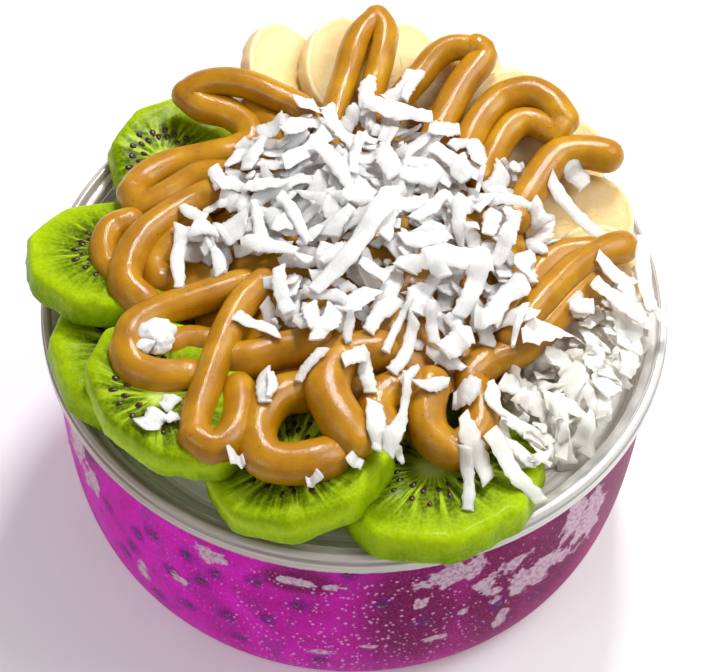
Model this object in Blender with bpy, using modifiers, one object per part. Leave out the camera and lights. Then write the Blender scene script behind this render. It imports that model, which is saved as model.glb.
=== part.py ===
"""A pitaya smoothie bowl: a clear plastic bowl filled with smoothie, topped with kiwi and banana
slices, thick loops of nut butter, a heap of coconut shreds in the middle and a pile of coconut at
one side.

Metres, +Z up. The origin is the middle of the bowl's base. A topping's place is given as its
bearing (degrees from +X, turning towards +Y), its reach from the bowl's axis and its height above
the rim, the last two in millimetres. Rings and sides are kept few, because the finish comes later.
"""
import math
import random

import bmesh
import bpy
from mathutils import Matrix, Vector
from mathutils.bvhtree import BVHTree

MM = 0.001
OBJECT_NAME = "smoothie_bowl"

# Bowl, in millimetres
RIM_RADIUS = 76.0
BOWL_HEIGHT = 70.0
WALL_RADIUS = 74.2          # outside, just under the rim
BASE_RADIUS = 57.5          # where the rounded corner meets the flat base
CORNER_POWER = 4.0          # depth at which the wall starts to turn in
CORNER_FULLNESS = 0.3       # how round the corner is
WALL_THICKNESS = 0.8
WALL_TOP_DEPTH = 7.5        # the wall ends here, below the rim's neck
NECK_RADIUS = 71.4
LEDGE_DEPTH = 2.1           # the ledge that a lid would sit on
SKIRT_DEPTH = 5.0
TURN_STEPS = 40

# Gap between pieces that touch, and the wider one that is left where one is cut to lie on another
GAP = 0.3
CUT_GAP = 0.45

# Smoothie, heights above the rim
LEVEL_AT_WALL = -7.9
LEVEL = -7.5
BANK_HEIGHT = 7.0           # how much higher it lies under the banana
BANK_FROM, BANK_FULL, BANK_LAST, BANK_TO = 0.0, 70.0, 108.0, 124.0    # bearings
MOUND_HEIGHT = 17.5
MOUND_FOOT, MOUND_TOP = 35.0, 20.0                                      # reaches

# Kiwi slices: bearing, reach, height of the underside, radius, tilt up outwards, tilt up towards
# the larger bearing, length along the rim over width
KIWI_THICKNESS = 8.0
KIWI_SLICES = (
    (139.5, 61.5, -2.7, 18.0, 14, 0, 1.08),
    (182, 59, 5.3, 20.5, 3, 10, 1.0),
    (205, 56, -2.8, 23.0, 10, 0, 1.12),
    (227, 58.5, 9.5, 20.6, 0, 1, 1.4),
    (259, 55.5, 3.6, 22, 3, 12, 1.0),
    (290, 58, -2.2, 24.6, 10, 0, 1.14),
)

# Banana slices, with the same seven values
BANANA_THICKNESS = 5.0
BANANA_SLICES = (
    (109, 64, 7.3, 14.2, 22, 27, 0.8),
    (95.5, 65, 7.1, 13.8, 22, 27, 0.85),
    (83, 65, 6.9, 13.4, 22, 27, 0.85),
    (69, 65, 6.7, 13.6, 22, 27, 0.85),
    (55, 64, 5.2, 13.6, 21, 27, 0.85),
    (40, 62, 2.8, 13.6, 18, 27, 0.85),
    (23, 59.5, 0.4, 13.2, 14, 22, 0.9),
    (7, 59, 0.0, 12.6, 10, 20, 1.0),
)

# Nut butter: a pool in the middle, and ropes that run out from it in loops. Each leg of rope is its
# radius and its points, as bearing, reach and height. Legs that share their last point turn there.
POOL_CENTRE = (0.0, -1.0)
POOL_RADII = (41.0, 44.0)
POOL_BOTTOM, POOL_EDGE, POOL_TOP = 3.0, 12.0, 20.8
ROPE_STEP = 7.0
ROPES = (
    (3.4, ((104, 35, 15.5), (98, 46, 17.5), (95, 54, 18.5), (93, 61, 20.5), (91, 67, 21.5),
           (88, 72, 22))),
    (3.4, ((88, 72, 22), (86, 68, 21.5), (86, 61, 20.5), (87, 54, 18.5), (88, 46, 17.5),
           (89, 35, 15.5))),
    (3.5, ((85, 37, 15), (79, 50, 17.5), (76, 57, 18.5), (74, 63, 20), (71, 67, 21), (66, 69, 21.5))),
    (3.9, ((66, 69, 21.5), (64, 68, 20.5), (65, 59, 19), (65, 51, 17.5), (64, 42, 16.5),
           (62, 34, 15))),
    (4.1, ((48, 36, 16), (54, 45, 16), (56, 54, 16.5), (55, 61, 17.5), (51, 66, 18.5),
           (46, 67, 18.5), (41, 66, 17.5))),
    (3.7, ((41, 66, 17.5), (40, 62, 16.5), (45, 61, 16), (48, 58, 16), (48, 53, 15.5),
           (45, 46, 15), (40, 39, 15))),
    (4.4, ((20, 40, 14), (27, 46, 14), (32, 53, 15), (34, 59, 16), (32, 65, 16), (29, 69, 16))),
    (3.9, ((5, 56, 13), (4, 49, 13), (358, 44, 13), (347, 41, 13), (336, 39, 13))),
    (3.9, ((7, 64, 12), (5, 59, 13), (359, 52, 14), (350, 47, 14.5), (340, 44, 14.5),
           (328, 43, 14))),
    (4.1, ((357, 55, 10.5), (348, 50, 11), (337, 47, 11), (327, 45, 11.5), (317, 42, 12))),
    (3.7, ((105, 35, 15), (109, 45, 17.5), (115, 51, 18.5), (120, 57, 19), (125, 62, 18.5),
           (129, 65, 17), (132, 66, 15))),
    (4.0, ((132, 66, 15), (131, 61, 14), (127, 56, 13.5), (125, 50, 13), (128, 45, 13),
           (136, 46, 12.5))),
    (4.1, ((136, 46, 12.5), (142, 50, 11.5), (149, 55, 11), (156, 58, 11), (162, 58, 12))),
    (4.0, ((162, 58, 12), (166, 54, 13), (162, 50, 13.5), (156, 47, 14), (150, 44, 15),
           (146, 39, 16))),
    (3.9, ((172, 55, 13.5), (175, 59, 13.5), (180, 60, 13.5), (185, 59, 13.5), (190, 56, 13))),
    (4.3, ((156, 38, 16.5), (163, 42, 16), (172, 47, 16), (179, 51, 16), (187, 54, 16),
           (194, 55, 16), (200, 52, 15))),
    (4.1, ((170, 39, 14), (179, 44, 14), (186, 48, 13), (192, 47, 13))),
    (3.9, ((206, 29, 17.5), (206, 35, 17.5), (206, 42, 17.5), (206, 50, 17.5), (208, 57, 17.5),
           (213, 61, 17.5))),
    (4.3, ((213, 61, 17.5), (218, 62, 17), (223, 59, 17), (227, 54, 17))),
    (3.9, ((221, 44, 15), (217, 47, 15), (216, 51, 15))),
    (3.7, ((211, 25, 18.5), (218, 33, 19.5), (224, 40, 19.5), (229, 47, 19),
           (233, 54, 18.5), (236, 61, 18), (239, 66, 17.5))),
    (4.1, ((239, 66, 17.5), (243, 66, 17), (245, 61, 17), (243, 54, 16.5), (239, 49, 16))),
    (4.4, ((230, 44, 16), (235, 41, 16.5), (240, 36, 16.5), (248, 32, 16.5), (254, 29, 16.5))),
    (4.8, ((256, 42, 15), (250, 46, 16), (248, 52, 16), (249, 58, 16), (253, 63, 16),
           (258, 63, 16), (263, 61, 16), (266, 59, 15.5))),
    (5.2, ((281, 31, 17), (269, 32, 17.5), (263, 37, 18.5), (263, 44, 19), (267, 50, 18.5),
           (271, 55, 17.5))),
    (4.3, ((289, 40, 15), (281, 41, 15), (277, 46, 15), (279, 51, 14))),
    (4.5, ((296, 41, 14), (291, 47, 13.5), (290, 53, 12.5), (293, 58, 11.5))),
    (4.5, ((118, 38, 13), (119, 46, 13), (121, 54, 12))),
    (4.3, ((293, 58, 11.5), (298, 57, 11), (303, 54, 11), (307, 48, 11.5), (309, 43, 12),
           (317, 42, 12))),
)

# Coconut: a heap in the middle and a pile at one side, each a core with shreds on it
HEAP_CENTRE = (2.0, 4.0)
HEAP_RADII = (34.0, 32.0)
HEAP_TOP = 31.0
HEAP_SPREAD = (41.0, 45.0)
HEAP_SHREDS, HEAP_SEED = 50, 6
PILE_BEARING, PILE_REACH = 336.0, 57.0
PILE_TURN, PILE_ACROSS = 25.0, 13.6     # half its length, in degrees, and half its width
PILE_FOOT, PILE_TOP = -7.1, 8.0
PILE_SHREDS, PILE_SEED = 28, 11
PILE_LONG = (                           # three points and a width
    ((25.5, -46.0, 16.6), (33.5, -55.8, 14.8), (41.5, -65.0, 10.6), 4.2),
    ((58.0, -1.0, 6.4), (66.5, -4.0, 5.0), (75.0, -7.0, 1.4), 3.6),
    ((55.5, -6.5, 6.6), (62.0, -9.5, 5.6), (68.5, -12.5, 2.6), 3.4),
)
SHRED_THICKNESS = 1.1
STEEPEST = 0.7                          # rise of a shred over its length


def clear_scene():
    for thing in list(bpy.data.objects):
        bpy.data.objects.remove(thing, do_unlink=True)


def new_collection(name):
    collection = bpy.data.collections.new(name)
    bpy.context.scene.collection.children.link(collection)
    return collection


def new_material(name, colour, roughness, transmission=0.0):
    material = bpy.data.materials.new(name)
    material.use_nodes = True
    shader = material.node_tree.nodes["Principled BSDF"]
    shader.inputs["Base Color"].default_value = (*colour, 1.0)
    shader.inputs["Roughness"].default_value = roughness
    shader.inputs["Transmission Weight"].default_value = transmission
    material.diffuse_color = (*colour, 1.0)
    return material


def place(bearing, reach, height):
    """The point at a bearing and reach from the axis, at a height above the rim."""
    turn = math.radians(bearing)
    return Vector((reach * math.cos(turn), reach * math.sin(turn), BOWL_HEIGHT + height)) * MM


def smooth_step(low, high, value):
    share = min(1.0, max(0.0, (value - low) / (high - low)))
    return share * share * (3.0 - 2.0 * share)


def add_object(name, mesh, material, collection):
    thing = bpy.data.objects.new(name, mesh)
    mesh.materials.clear()
    mesh.materials.append(material)
    collection.objects.link(thing)
    return thing


def finished_mesh(thing):
    """The object's mesh with its modifiers applied."""
    depsgraph = bpy.context.evaluated_depsgraph_get()
    return bpy.data.meshes.new_from_object(thing.evaluated_get(depsgraph))


def turned_mesh(profile):
    """The solid that a profile of (radius, height) makes, turned about Z."""
    mesh = bpy.data.meshes.new("profile")
    points = [(radius * MM, 0.0, height * MM) for radius, height in profile]
    mesh.from_pydata(points, [(i, i + 1) for i in range(len(points) - 1)], [])
    turned = bpy.data.objects.new("profile", mesh)
    bpy.context.scene.collection.objects.link(turned)
    screw = turned.modifiers.new("Screw", "SCREW")
    screw.steps = screw.render_steps = TURN_STEPS
    screw.use_merge_vertices = True
    screw.merge_threshold = 0.00001
    solid = finished_mesh(turned)
    bpy.data.objects.remove(turned)
    return solid


# ---------------------------------------------------------------- bowl

def wall_radius(depth):
    share = depth / BOWL_HEIGHT
    turn_in = max(0.0, 1.0 - share ** CORNER_POWER) ** CORNER_FULLNESS
    return BASE_RADIUS + (WALL_RADIUS - BASE_RADIUS) * turn_in


def wall_points(steps):
    """The wall's outside, from the base up, with more points in the rounded corner."""
    for step in range(steps + 1):
        share = (step / steps) ** 2.2
        depth = BOWL_HEIGHT - share * (BOWL_HEIGHT - WALL_TOP_DEPTH)
        yield wall_radius(depth), BOWL_HEIGHT - depth


def sheet_path():
    """The middle of the plastic sheet, from the axis out over the base, up the wall and round
    the rim to the lower edge of its skirt."""
    half = WALL_THICKNESS / 2
    path = [(0.0, half)]
    outside = list(wall_points(8))
    for before, here, after in zip([(0.0, 0.0)] + outside, outside, outside[1:] + outside[-1:]):
        run, rise = after[0] - before[0], after[1] - before[1]
        length = math.hypot(run, rise)
        path.append((here[0] - half * rise / length, here[1] + half * run / length))
    top = BOWL_HEIGHT
    skirt_radius = RIM_RADIUS - half
    path += [(NECK_RADIUS, top - 4.6), (NECK_RADIUS, top - LEDGE_DEPTH),
             (NECK_RADIUS + 1.8, top - LEDGE_DEPTH + 0.2), (NECK_RADIUS + 2.5, top - 0.7),
             (NECK_RADIUS + 3.2, top - half), (skirt_radius - 0.3, top - 1.1),
             (skirt_radius, top - 2.0), (skirt_radius, top - SKIRT_DEPTH)]
    return path


def offset_path(path, distance):
    """The path moved sideways, to its left as it runs, by a distance."""
    moved = []
    for index, (x, y) in enumerate(path):
        sides = []
        for start, end in ((index - 1, index), (index, index + 1)):
            if start >= 0 and end < len(path):
                run, rise = path[end][0] - path[start][0], path[end][1] - path[start][1]
                length = math.hypot(run, rise)
                sides.append((-rise / length, run / length))
        across = (sides[0][0] + sides[-1][0], sides[0][1] + sides[-1][1])
        size = math.hypot(*across)
        unit = (across[0] / size, across[1] / size)
        reach = distance / max(0.5, unit[0] * sides[0][0] + unit[1] * sides[0][1])
        moved.append((x + unit[0] * reach, y + unit[1] * reach))
    return moved


def make_bowl(material, collection):
    path = sheet_path()
    inside = offset_path(path, WALL_THICKNESS / 2)
    outside = offset_path(path, -WALL_THICKNESS / 2)
    inside[0] = (0.0, WALL_THICKNESS)
    outside[0] = (0.0, 0.0)
    outside[1] = (outside[1][0], 0.0)
    mesh = turned_mesh(inside + outside[::-1])
    mesh.shade_smooth()
    mesh.set_sharp_from_angle(angle=math.radians(35))
    return add_object("bowl", mesh, material, collection)


# ---------------------------------------------------------------- smoothie

def smoothie_level(bearing, reach):
    """Height of the smoothie above the rim."""
    bank = smooth_step(BANK_FROM, BANK_FULL, bearing) * (1 - smooth_step(BANK_LAST, BANK_TO, bearing))
    mound = 1 - smooth_step(MOUND_TOP, MOUND_FOOT, reach)
    return LEVEL + max(BANK_HEIGHT * bank, MOUND_HEIGHT * mound)


def make_smoothie(material, collection):
    inner_wall = offset_path(sheet_path()[:10], WALL_THICKNESS / 2 + GAP)
    side = [point for point in inner_wall[2:] if point[1] < BOWL_HEIGHT + LEVEL_AT_WALL - 1.0]
    floor = WALL_THICKNESS + GAP
    wall_reach = side[-1][0]
    top = BOWL_HEIGHT + LEVEL_AT_WALL
    rings = (14.0, 20.0, 25.0, 30.0, 35.0, 50.0, 62.0, 67.5)
    profile = [(0.0, top)] + [(reach, top) for reach in rings] + [(wall_reach, top)]
    profile += side[::-1] + [(inner_wall[1][0], floor), (0.0, floor)]
    mesh = turned_mesh(profile)
    for vertex in mesh.vertices:
        reach = math.hypot(vertex.co.x, vertex.co.y) / MM
        if vertex.co.z > (top - 0.01) * MM and reach < wall_reach - 0.5:
            bearing = math.degrees(math.atan2(vertex.co.y, vertex.co.x)) % 360
            vertex.co.z = (BOWL_HEIGHT + smoothie_level(bearing, reach)) * MM
    mesh.shade_smooth()
    return add_object("smoothie", mesh, material, collection)


# ---------------------------------------------------------------- fruit slices

def slice_frame(bearing, reach, height, outward_tilt, side_tilt):
    """Where a slice lies: the middle of its underside, with local X pointing outwards."""
    turn = Matrix.Rotation(math.radians(bearing), 4, "Z")
    up_outwards = Matrix.Rotation(-math.radians(outward_tilt), 4, "Y")
    up_sideways = Matrix.Rotation(math.radians(side_tilt), 4, "X")
    return Matrix.Translation(place(bearing, reach, height)) @ turn @ up_outwards @ up_sideways


def slice_mesh(spec, thickness, sides, lobes, seed, taper, bevel):
    """A cut slice of fruit with an uneven outline and softened edges."""
    bearing, reach, height, radius, outward_tilt, side_tilt, stretch = spec
    draw = random.Random(seed)
    phases = [draw.uniform(0, 2 * math.pi) for _ in range(3)]
    built = bmesh.new()
    bmesh.ops.create_cone(built, cap_ends=True, segments=sides, radius1=radius * MM,
                          radius2=radius * MM, depth=thickness * MM)
    for vertex in built.verts:
        turn = math.atan2(vertex.co.y, vertex.co.x)
        uneven = 1 + 0.018 * math.sin(2 * turn + phases[0]) + 0.014 * math.sin(3 * turn + phases[1])
        scallop = 1 - lobes[1] * abs(math.sin(lobes[0] * turn / 2 + phases[2]))
        slope = 1 - taper if vertex.co.z > 0 else 1
        vertex.co.x *= uneven * scallop * slope / math.sqrt(stretch)
        vertex.co.y *= uneven * scallop * slope * math.sqrt(stretch)
        vertex.co.z += thickness / 2 * MM
    edges = [edge for edge in built.edges if abs(edge.verts[0].co.z - edge.verts[1].co.z) < 1e-5]
    bmesh.ops.bevel(built, geom=edges, offset=bevel * MM, segments=1, profile=0.5,
                    affect="EDGES", clamp_overlap=True)
    mesh = bpy.data.meshes.new("slice")
    built.to_mesh(mesh)
    built.free()
    mesh.transform(slice_frame(bearing, reach, height, outward_tilt, side_tilt))
    mesh.shade_smooth()
    mesh.set_sharp_from_angle(angle=math.radians(40))
    return mesh


def make_fruit(kiwi, banana, collection):
    for number, spec in enumerate(KIWI_SLICES, 1):
        mesh = slice_mesh(spec, KIWI_THICKNESS, 20, (9, 0.05), 39 + number, 0.03, 2.0)
        add_object(f"kiwi_{number}", mesh, kiwi, collection)
    for number, spec in enumerate(BANANA_SLICES, 1):
        mesh = slice_mesh(spec, BANANA_THICKNESS, 16, (3, 0.03), 69 + number, 0.0, 1.0)
        add_object(f"banana_{number}", mesh, banana, collection)


# ---------------------------------------------------------------- joining and cutting

def grown_copy(mesh):
    """A copy of a closed mesh, larger by the gap all round."""
    copy = mesh.copy()
    moved = [vertex.co + vertex.normal * CUT_GAP * MM for vertex in mesh.vertices]
    for vertex, point in zip(copy.vertices, moved):
        vertex.co = point
    return copy


def boolean_mesh(target, others, operation):
    """The target mesh joined with, or cut by, all the others, which may cross each other."""
    group = bpy.data.collections.new("operands")
    bpy.context.scene.collection.children.link(group)
    things = [bpy.data.objects.new("operand", mesh) for mesh in others]
    for thing in things:
        group.objects.link(thing)
    base = bpy.data.objects.new("target", target)
    bpy.context.scene.collection.objects.link(base)
    boolean = base.modifiers.new("Boolean", "BOOLEAN")
    boolean.operation = operation
    boolean.operand_type = "COLLECTION"
    boolean.collection = group
    boolean.solver = "MANIFOLD"
    result = finished_mesh(base)
    for thing in things + [base]:
        bpy.data.objects.remove(thing)
    bpy.data.collections.remove(group)
    return result


def thinned(mesh, share):
    """The mesh with its faces cut down to a share of their number."""
    thing = bpy.data.objects.new("thinned", mesh)
    bpy.context.scene.collection.objects.link(thing)
    decimate = thing.modifiers.new("Decimate", "DECIMATE")
    decimate.ratio = share
    decimate.use_collapse_triangulate = True
    result = finished_mesh(thing)
    bpy.data.objects.remove(thing)
    return result


def largest_body(mesh):
    """The mesh without the small loose scraps that cutting leaves."""
    built = bmesh.new()
    built.from_mesh(mesh)
    unseen = set(built.verts)
    bodies = []
    while unseen:
        reached = {unseen.pop()}
        edge_of_search = list(reached)
        while edge_of_search:
            for edge in edge_of_search.pop().link_edges:
                for vertex in edge.verts:
                    if vertex not in reached:
                        reached.add(vertex)
                        edge_of_search.append(vertex)
        unseen -= reached
        bodies.append(reached)
    bodies.sort(key=len)
    scraps = [vertex for body in bodies[:-1] for vertex in body]
    bmesh.ops.delete(built, geom=scraps, context="VERTS")
    built.to_mesh(mesh)
    built.free()
    return mesh


# ---------------------------------------------------------------- nut butter

def smooth_route(points, step):
    """Points about a step apart on a smooth curve through the given points."""
    ends = [points[0] * 2 - points[1]] + list(points) + [points[-1] * 2 - points[-2]]
    route = []
    for before, start, end, after in zip(ends, ends[1:], ends[2:], ends[3:]):
        pieces = max(1, round((end - start).length / (step * MM)))
        for piece in range(pieces):
            t = piece / pieces
            route.append(0.5 * (2 * start + (end - before) * t
                                + (2 * before - 5 * start + 4 * end - after) * t * t
                                + (3 * start - before - 3 * end + after) * t ** 3))
    return route + [points[-1]]


def rope_mesh(radius, points):
    """A leg of rope with rounded ends."""
    route = smooth_route([place(*point) for point in points], ROPE_STEP)
    first, last = (route[0] - route[1]).normalized(), (route[-1] - route[-2]).normalized()
    stations = [(route[0] + first * radius * MM * 0.85, 0.45)]
    stations += [(point, 1.0) for point in route]
    stations += [(route[-1] + last * radius * MM * 0.85, 0.45)]
    curve = bpy.data.curves.new("rope", "CURVE")
    curve.dimensions = "3D"
    curve.bevel_depth = radius * MM
    curve.bevel_resolution = 2
    curve.use_fill_caps = True
    spline = curve.splines.new("POLY")
    spline.points.add(len(stations) - 1)
    for point, (position, share) in zip(spline.points, stations):
        point.co = (*position, 1.0)
        point.radius = share
    thing = bpy.data.objects.new("rope", curve)
    bpy.context.scene.collection.objects.link(thing)
    mesh = finished_mesh(thing)
    bpy.data.objects.remove(thing)
    built = bmesh.new()
    built.from_mesh(mesh)
    bmesh.ops.remove_doubles(built, verts=built.verts, dist=0.00001)
    bmesh.ops.recalc_face_normals(built, faces=built.faces)
    built.to_mesh(mesh)
    built.free()
    return mesh


def pool_mesh():
    """The low dome of nut butter in the middle that the ropes run out of."""
    built = bmesh.new()
    bmesh.ops.create_uvsphere(built, u_segments=22, v_segments=8, radius=1.0)
    for vertex in built.verts:
        share = math.hypot(vertex.co.x, vertex.co.y)
        if vertex.co.z >= -0.01:
            height = POOL_EDGE + (POOL_TOP - POOL_EDGE) * (1 - share * share)
        else:
            height = POOL_EDGE + (POOL_EDGE - POOL_BOTTOM) * vertex.co.z
        x = POOL_CENTRE[0] + POOL_RADII[0] * vertex.co.x
        y = POOL_CENTRE[1] + POOL_RADII[1] * vertex.co.y
        vertex.co = Vector((x, y, BOWL_HEIGHT + height)) * MM
    mesh = bpy.data.meshes.new("pool")
    built.to_mesh(mesh)
    built.free()
    return mesh


def make_drizzle(material, below, collection):
    ropes = [rope_mesh(*rope) for rope in ROPES]
    joined = boolean_mesh(pool_mesh(), ropes, "UNION")
    laid = largest_body(boolean_mesh(joined, below, "DIFFERENCE"))
    mesh = thinned(laid, 0.8)
    mesh.shade_smooth()
    return add_object("nut_butter", mesh, material, collection)


# ---------------------------------------------------------------- coconut

def lens_mesh(outline, top_height, under_height, shares, sides):
    """A closed body between an upper and a lower surface that meet in a low edge. The outline
    gives (x, y) for a turn and a share of the way out; the heights are of x, y and the share."""
    built = bmesh.new()
    layers = []
    for height in (top_height, under_height):
        x, y = outline(0.0, 0.0)
        rings = [[built.verts.new(Vector((x, y, BOWL_HEIGHT + height(x, y, 0.0))) * MM)]]
        for share in shares:
            ring = []
            for side in range(sides):
                x, y = outline(2 * math.pi * side / sides, share)
                ring.append(built.verts.new(Vector((x, y, BOWL_HEIGHT + height(x, y, share))) * MM))
            rings.append(ring)
        layers.append(rings)
    for rings in layers:
        for side in range(sides):
            after = (side + 1) % sides
            built.faces.new((rings[0][0], rings[1][side], rings[1][after]))
            for inner, outer in zip(rings[1:], rings[2:]):
                built.faces.new((inner[side], outer[side], outer[after], inner[after]))
    for side in range(sides):
        after = (side + 1) % sides
        upper, lower = layers[0][-1], layers[1][-1]
        built.faces.new((upper[side], lower[side], lower[after], upper[after]))
    bmesh.ops.recalc_face_normals(built, faces=built.faces)
    mesh = bpy.data.meshes.new("lens")
    built.to_mesh(mesh)
    built.free()
    return mesh


def surface_of(meshes):
    """All the meshes as one tree for ray casts."""
    points, faces = [], []
    for mesh in meshes:
        start = len(points)
        points += [vertex.co.copy() for vertex in mesh.vertices]
        faces += [[start + index for index in polygon.vertices] for polygon in mesh.polygons]
    return BVHTree.FromPolygons(points, faces)


def top_at(tree, x, y):
    """Height above the rim of the highest surface at a spot, or a low one where there is none."""
    hit = tree.ray_cast(Vector((x, y, 2 * BOWL_HEIGHT)) * MM, Vector((0, 0, -1)))[0]
    return hit.z / MM - BOWL_HEIGHT if hit else -20.0


def shred_mesh(stations, width, roll):
    """A flat shred through three points, rolled sideways."""
    points = [Vector((x, y, BOWL_HEIGHT + z)) for x, y, z in stations]
    along = (points[2] - points[0]).normalized()
    across = Matrix.Rotation(roll, 3, along) @ along.cross(Vector((0, 0, 1))).normalized()
    normal = across.cross(along)
    built = bmesh.new()
    sections = []
    for point, share in zip(points, (0.75, 1.0, 0.6)):
        side, half = across * width / 2 * share, normal * SHRED_THICKNESS / 2
        corners = (point + side + half, point - side + half, point - side - half, point + side - half)
        sections.append([built.verts.new(corner * MM) for corner in corners])
    for start, end in zip(sections, sections[1:]):
        for corner in range(4):
            after = (corner + 1) % 4
            built.faces.new((start[corner], start[after], end[after], end[corner]))
    built.faces.new(sections[0])
    built.faces.new(sections[-1])
    bmesh.ops.recalc_face_normals(built, faces=built.faces)
    mesh = bpy.data.meshes.new("shred")
    built.to_mesh(mesh)
    built.free()
    return mesh


def laid_shred(x, y, heading, length, width, roll, core, below):
    """A shred lying on the core, or clear of whatever else is higher there. There is none where
    it would be too steep."""
    stations = []
    for share in (-0.5, 0.0, 0.5):
        spot = (x + length * share * math.cos(heading), y + length * share * math.sin(heading))
        on_core = top_at(core, *spot) + 0.2
        on_others = top_at(below, *spot) + SHRED_THICKNESS / 2 + GAP + 0.3
        stations.append([*spot, max(on_core, on_others)])
    heights = [station[2] for station in stations]
    if max(heights) - min(heights) > STEEPEST * length:
        return None
    ends_middle = (stations[0][2] + stations[2][2]) / 2
    stations[1][2] = max(stations[1][2], ends_middle)
    for end, other in ((0, 2), (2, 0)):
        lowest = 2 * stations[1][2] - stations[other][2] - 3.0
        stations[end][2] = max(stations[end][2], lowest)
    return shred_mesh(stations, width, roll)


def make_coconut(name, core, shreds, below, material, collection):
    joined = boolean_mesh(core, [shred for shred in shreds if shred], "UNION")
    cut = boolean_mesh(joined, [grown_copy(other) for other in below], "DIFFERENCE")
    mesh = thinned(largest_body(cut), 0.8)
    return add_object(name, mesh, material, collection)


def make_heap(below, material, collection):
    def outline(turn, share):
        uneven = 1 + 0.07 * math.sin(3 * turn + 1) + 0.05 * math.sin(5 * turn)
        return (HEAP_CENTRE[0] + HEAP_RADII[0] * share * uneven * math.cos(turn),
                HEAP_CENTRE[1] + HEAP_RADII[1] * share * uneven * math.sin(turn))

    def pool_height(x, y):
        share = math.hypot((x - POOL_CENTRE[0]) / POOL_RADII[0], (y - POOL_CENTRE[1]) / POOL_RADII[1])
        return POOL_EDGE + (POOL_TOP - POOL_EDGE) * (1 - share * share)

    def under(x, y, share):
        return pool_height(x, y) + 0.6

    def top(x, y, share):
        foot = pool_height(x, y) + 2.4
        return foot + (HEAP_TOP - foot) * (1 - share ** 1.7)

    core = lens_mesh(outline, top, under, (0.4, 0.75, 1.0), 14)
    on_core, on_others = surface_of([core]), surface_of(below)
    draw = random.Random(HEAP_SEED)
    shreds = []
    for index in range(HEAP_SHREDS):
        share = math.sqrt((index + 0.5) / HEAP_SHREDS)
        turn = index * 2.39996
        x = HEAP_CENTRE[0] + HEAP_SPREAD[0] * share * math.cos(turn)
        y = HEAP_CENTRE[1] + HEAP_SPREAD[1] * share * math.sin(turn)
        spread = 1.6 if share < 0.6 else 1.1
        heading = math.atan2(y - HEAP_CENTRE[1], x - HEAP_CENTRE[0]) + draw.uniform(-spread, spread)
        length = draw.uniform(10, 15) if share < 0.6 else draw.uniform(13, 18)
        shreds.append(laid_shred(x, y, heading, length, draw.uniform(2.6, 4.2),
                                 draw.uniform(-0.4, 0.4), on_core, on_others))
    make_coconut("coconut_heap", core, shreds, below, material, collection)


def make_pile(below, material, collection):
    def outline(turn, share):
        bearing = math.radians(PILE_BEARING + PILE_TURN * share * math.cos(turn))
        reach = PILE_REACH + PILE_ACROSS * share * math.sin(turn)
        return reach * math.cos(bearing), reach * math.sin(bearing)

    def under(x, y, share):
        return PILE_FOOT

    def top(x, y, share):
        return PILE_FOOT + 4.0 + (PILE_TOP - PILE_FOOT - 4.0) * (1 - share ** 3)

    core = lens_mesh(outline, top, under, (0.5, 0.8, 1.0), 14)
    on_core, on_others = surface_of([core]), surface_of(below)
    draw = random.Random(PILE_SEED)
    shreds = []
    for index in range(PILE_SHREDS):
        share = 0.9 * math.sqrt((index + 0.5) / PILE_SHREDS)
        x, y = outline(index * 2.39996, share)
        shreds.append(laid_shred(x, y, draw.uniform(0, math.pi), draw.uniform(9, 14),
                                 draw.uniform(3.2, 5.0), draw.uniform(-0.4, 0.4), on_core, on_others))
    for *stations, width in PILE_LONG:
        shreds.append(shred_mesh(stations, width, 0.1))
    make_coconut("coconut_pile", core, shreds, below, material, collection)


def main():
    clear_scene()
    parts = new_collection(OBJECT_NAME)
    plastic = new_material("clear_plastic", (0.85, 0.85, 0.84), 0.1, transmission=0.9)
    pink = new_material("smoothie", (0.50, 0.015, 0.36), 0.4)
    green = new_material("kiwi", (0.32, 0.52, 0.02), 0.4)
    cream = new_material("banana", (0.93, 0.83, 0.50), 0.5)
    brown = new_material("nut_butter", (0.58, 0.27, 0.04), 0.25)
    white = new_material("coconut", (0.92, 0.90, 0.88), 0.7)
    make_bowl(plastic, parts)
    make_smoothie(pink, parts)
    make_fruit(green, cream, parts)
    below = [thing.data for thing in parts.objects if thing.name != "bowl"]
    make_drizzle(brown, [grown_copy(mesh) for mesh in below], parts)
    below = [thing.data for thing in parts.objects]
    make_heap(below, white, parts)
    below = [thing.data for thing in parts.objects]
    make_pile(below, white, parts)


main()
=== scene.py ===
"""The looks of a pitaya smoothie bowl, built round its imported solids.

Lengths are in millimetres, +Z up, with the origin at the middle of the bowl's base. They become
metres where a mesh is made. A topping's place is its bearing (degrees from +X, turning towards +Y),
its reach from the bowl's axis and its height above the rim.
"""
import copy
import math
import random
from collections import namedtuple

import bpy
import numpy as np
from mathutils import Matrix, Vector, noise
from mathutils.bvhtree import BVHTree


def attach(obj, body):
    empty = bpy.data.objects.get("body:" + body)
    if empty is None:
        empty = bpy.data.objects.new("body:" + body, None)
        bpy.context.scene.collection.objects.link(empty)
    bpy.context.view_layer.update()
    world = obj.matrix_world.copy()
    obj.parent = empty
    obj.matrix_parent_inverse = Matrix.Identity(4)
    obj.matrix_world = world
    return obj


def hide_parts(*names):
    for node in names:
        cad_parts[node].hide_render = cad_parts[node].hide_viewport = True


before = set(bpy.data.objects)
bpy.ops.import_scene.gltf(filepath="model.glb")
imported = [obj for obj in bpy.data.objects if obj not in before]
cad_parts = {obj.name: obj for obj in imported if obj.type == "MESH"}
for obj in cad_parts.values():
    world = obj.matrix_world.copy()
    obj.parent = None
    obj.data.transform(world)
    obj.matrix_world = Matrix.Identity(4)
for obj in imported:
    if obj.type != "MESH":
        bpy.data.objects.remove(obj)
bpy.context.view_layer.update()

MM = 0.001

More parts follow.
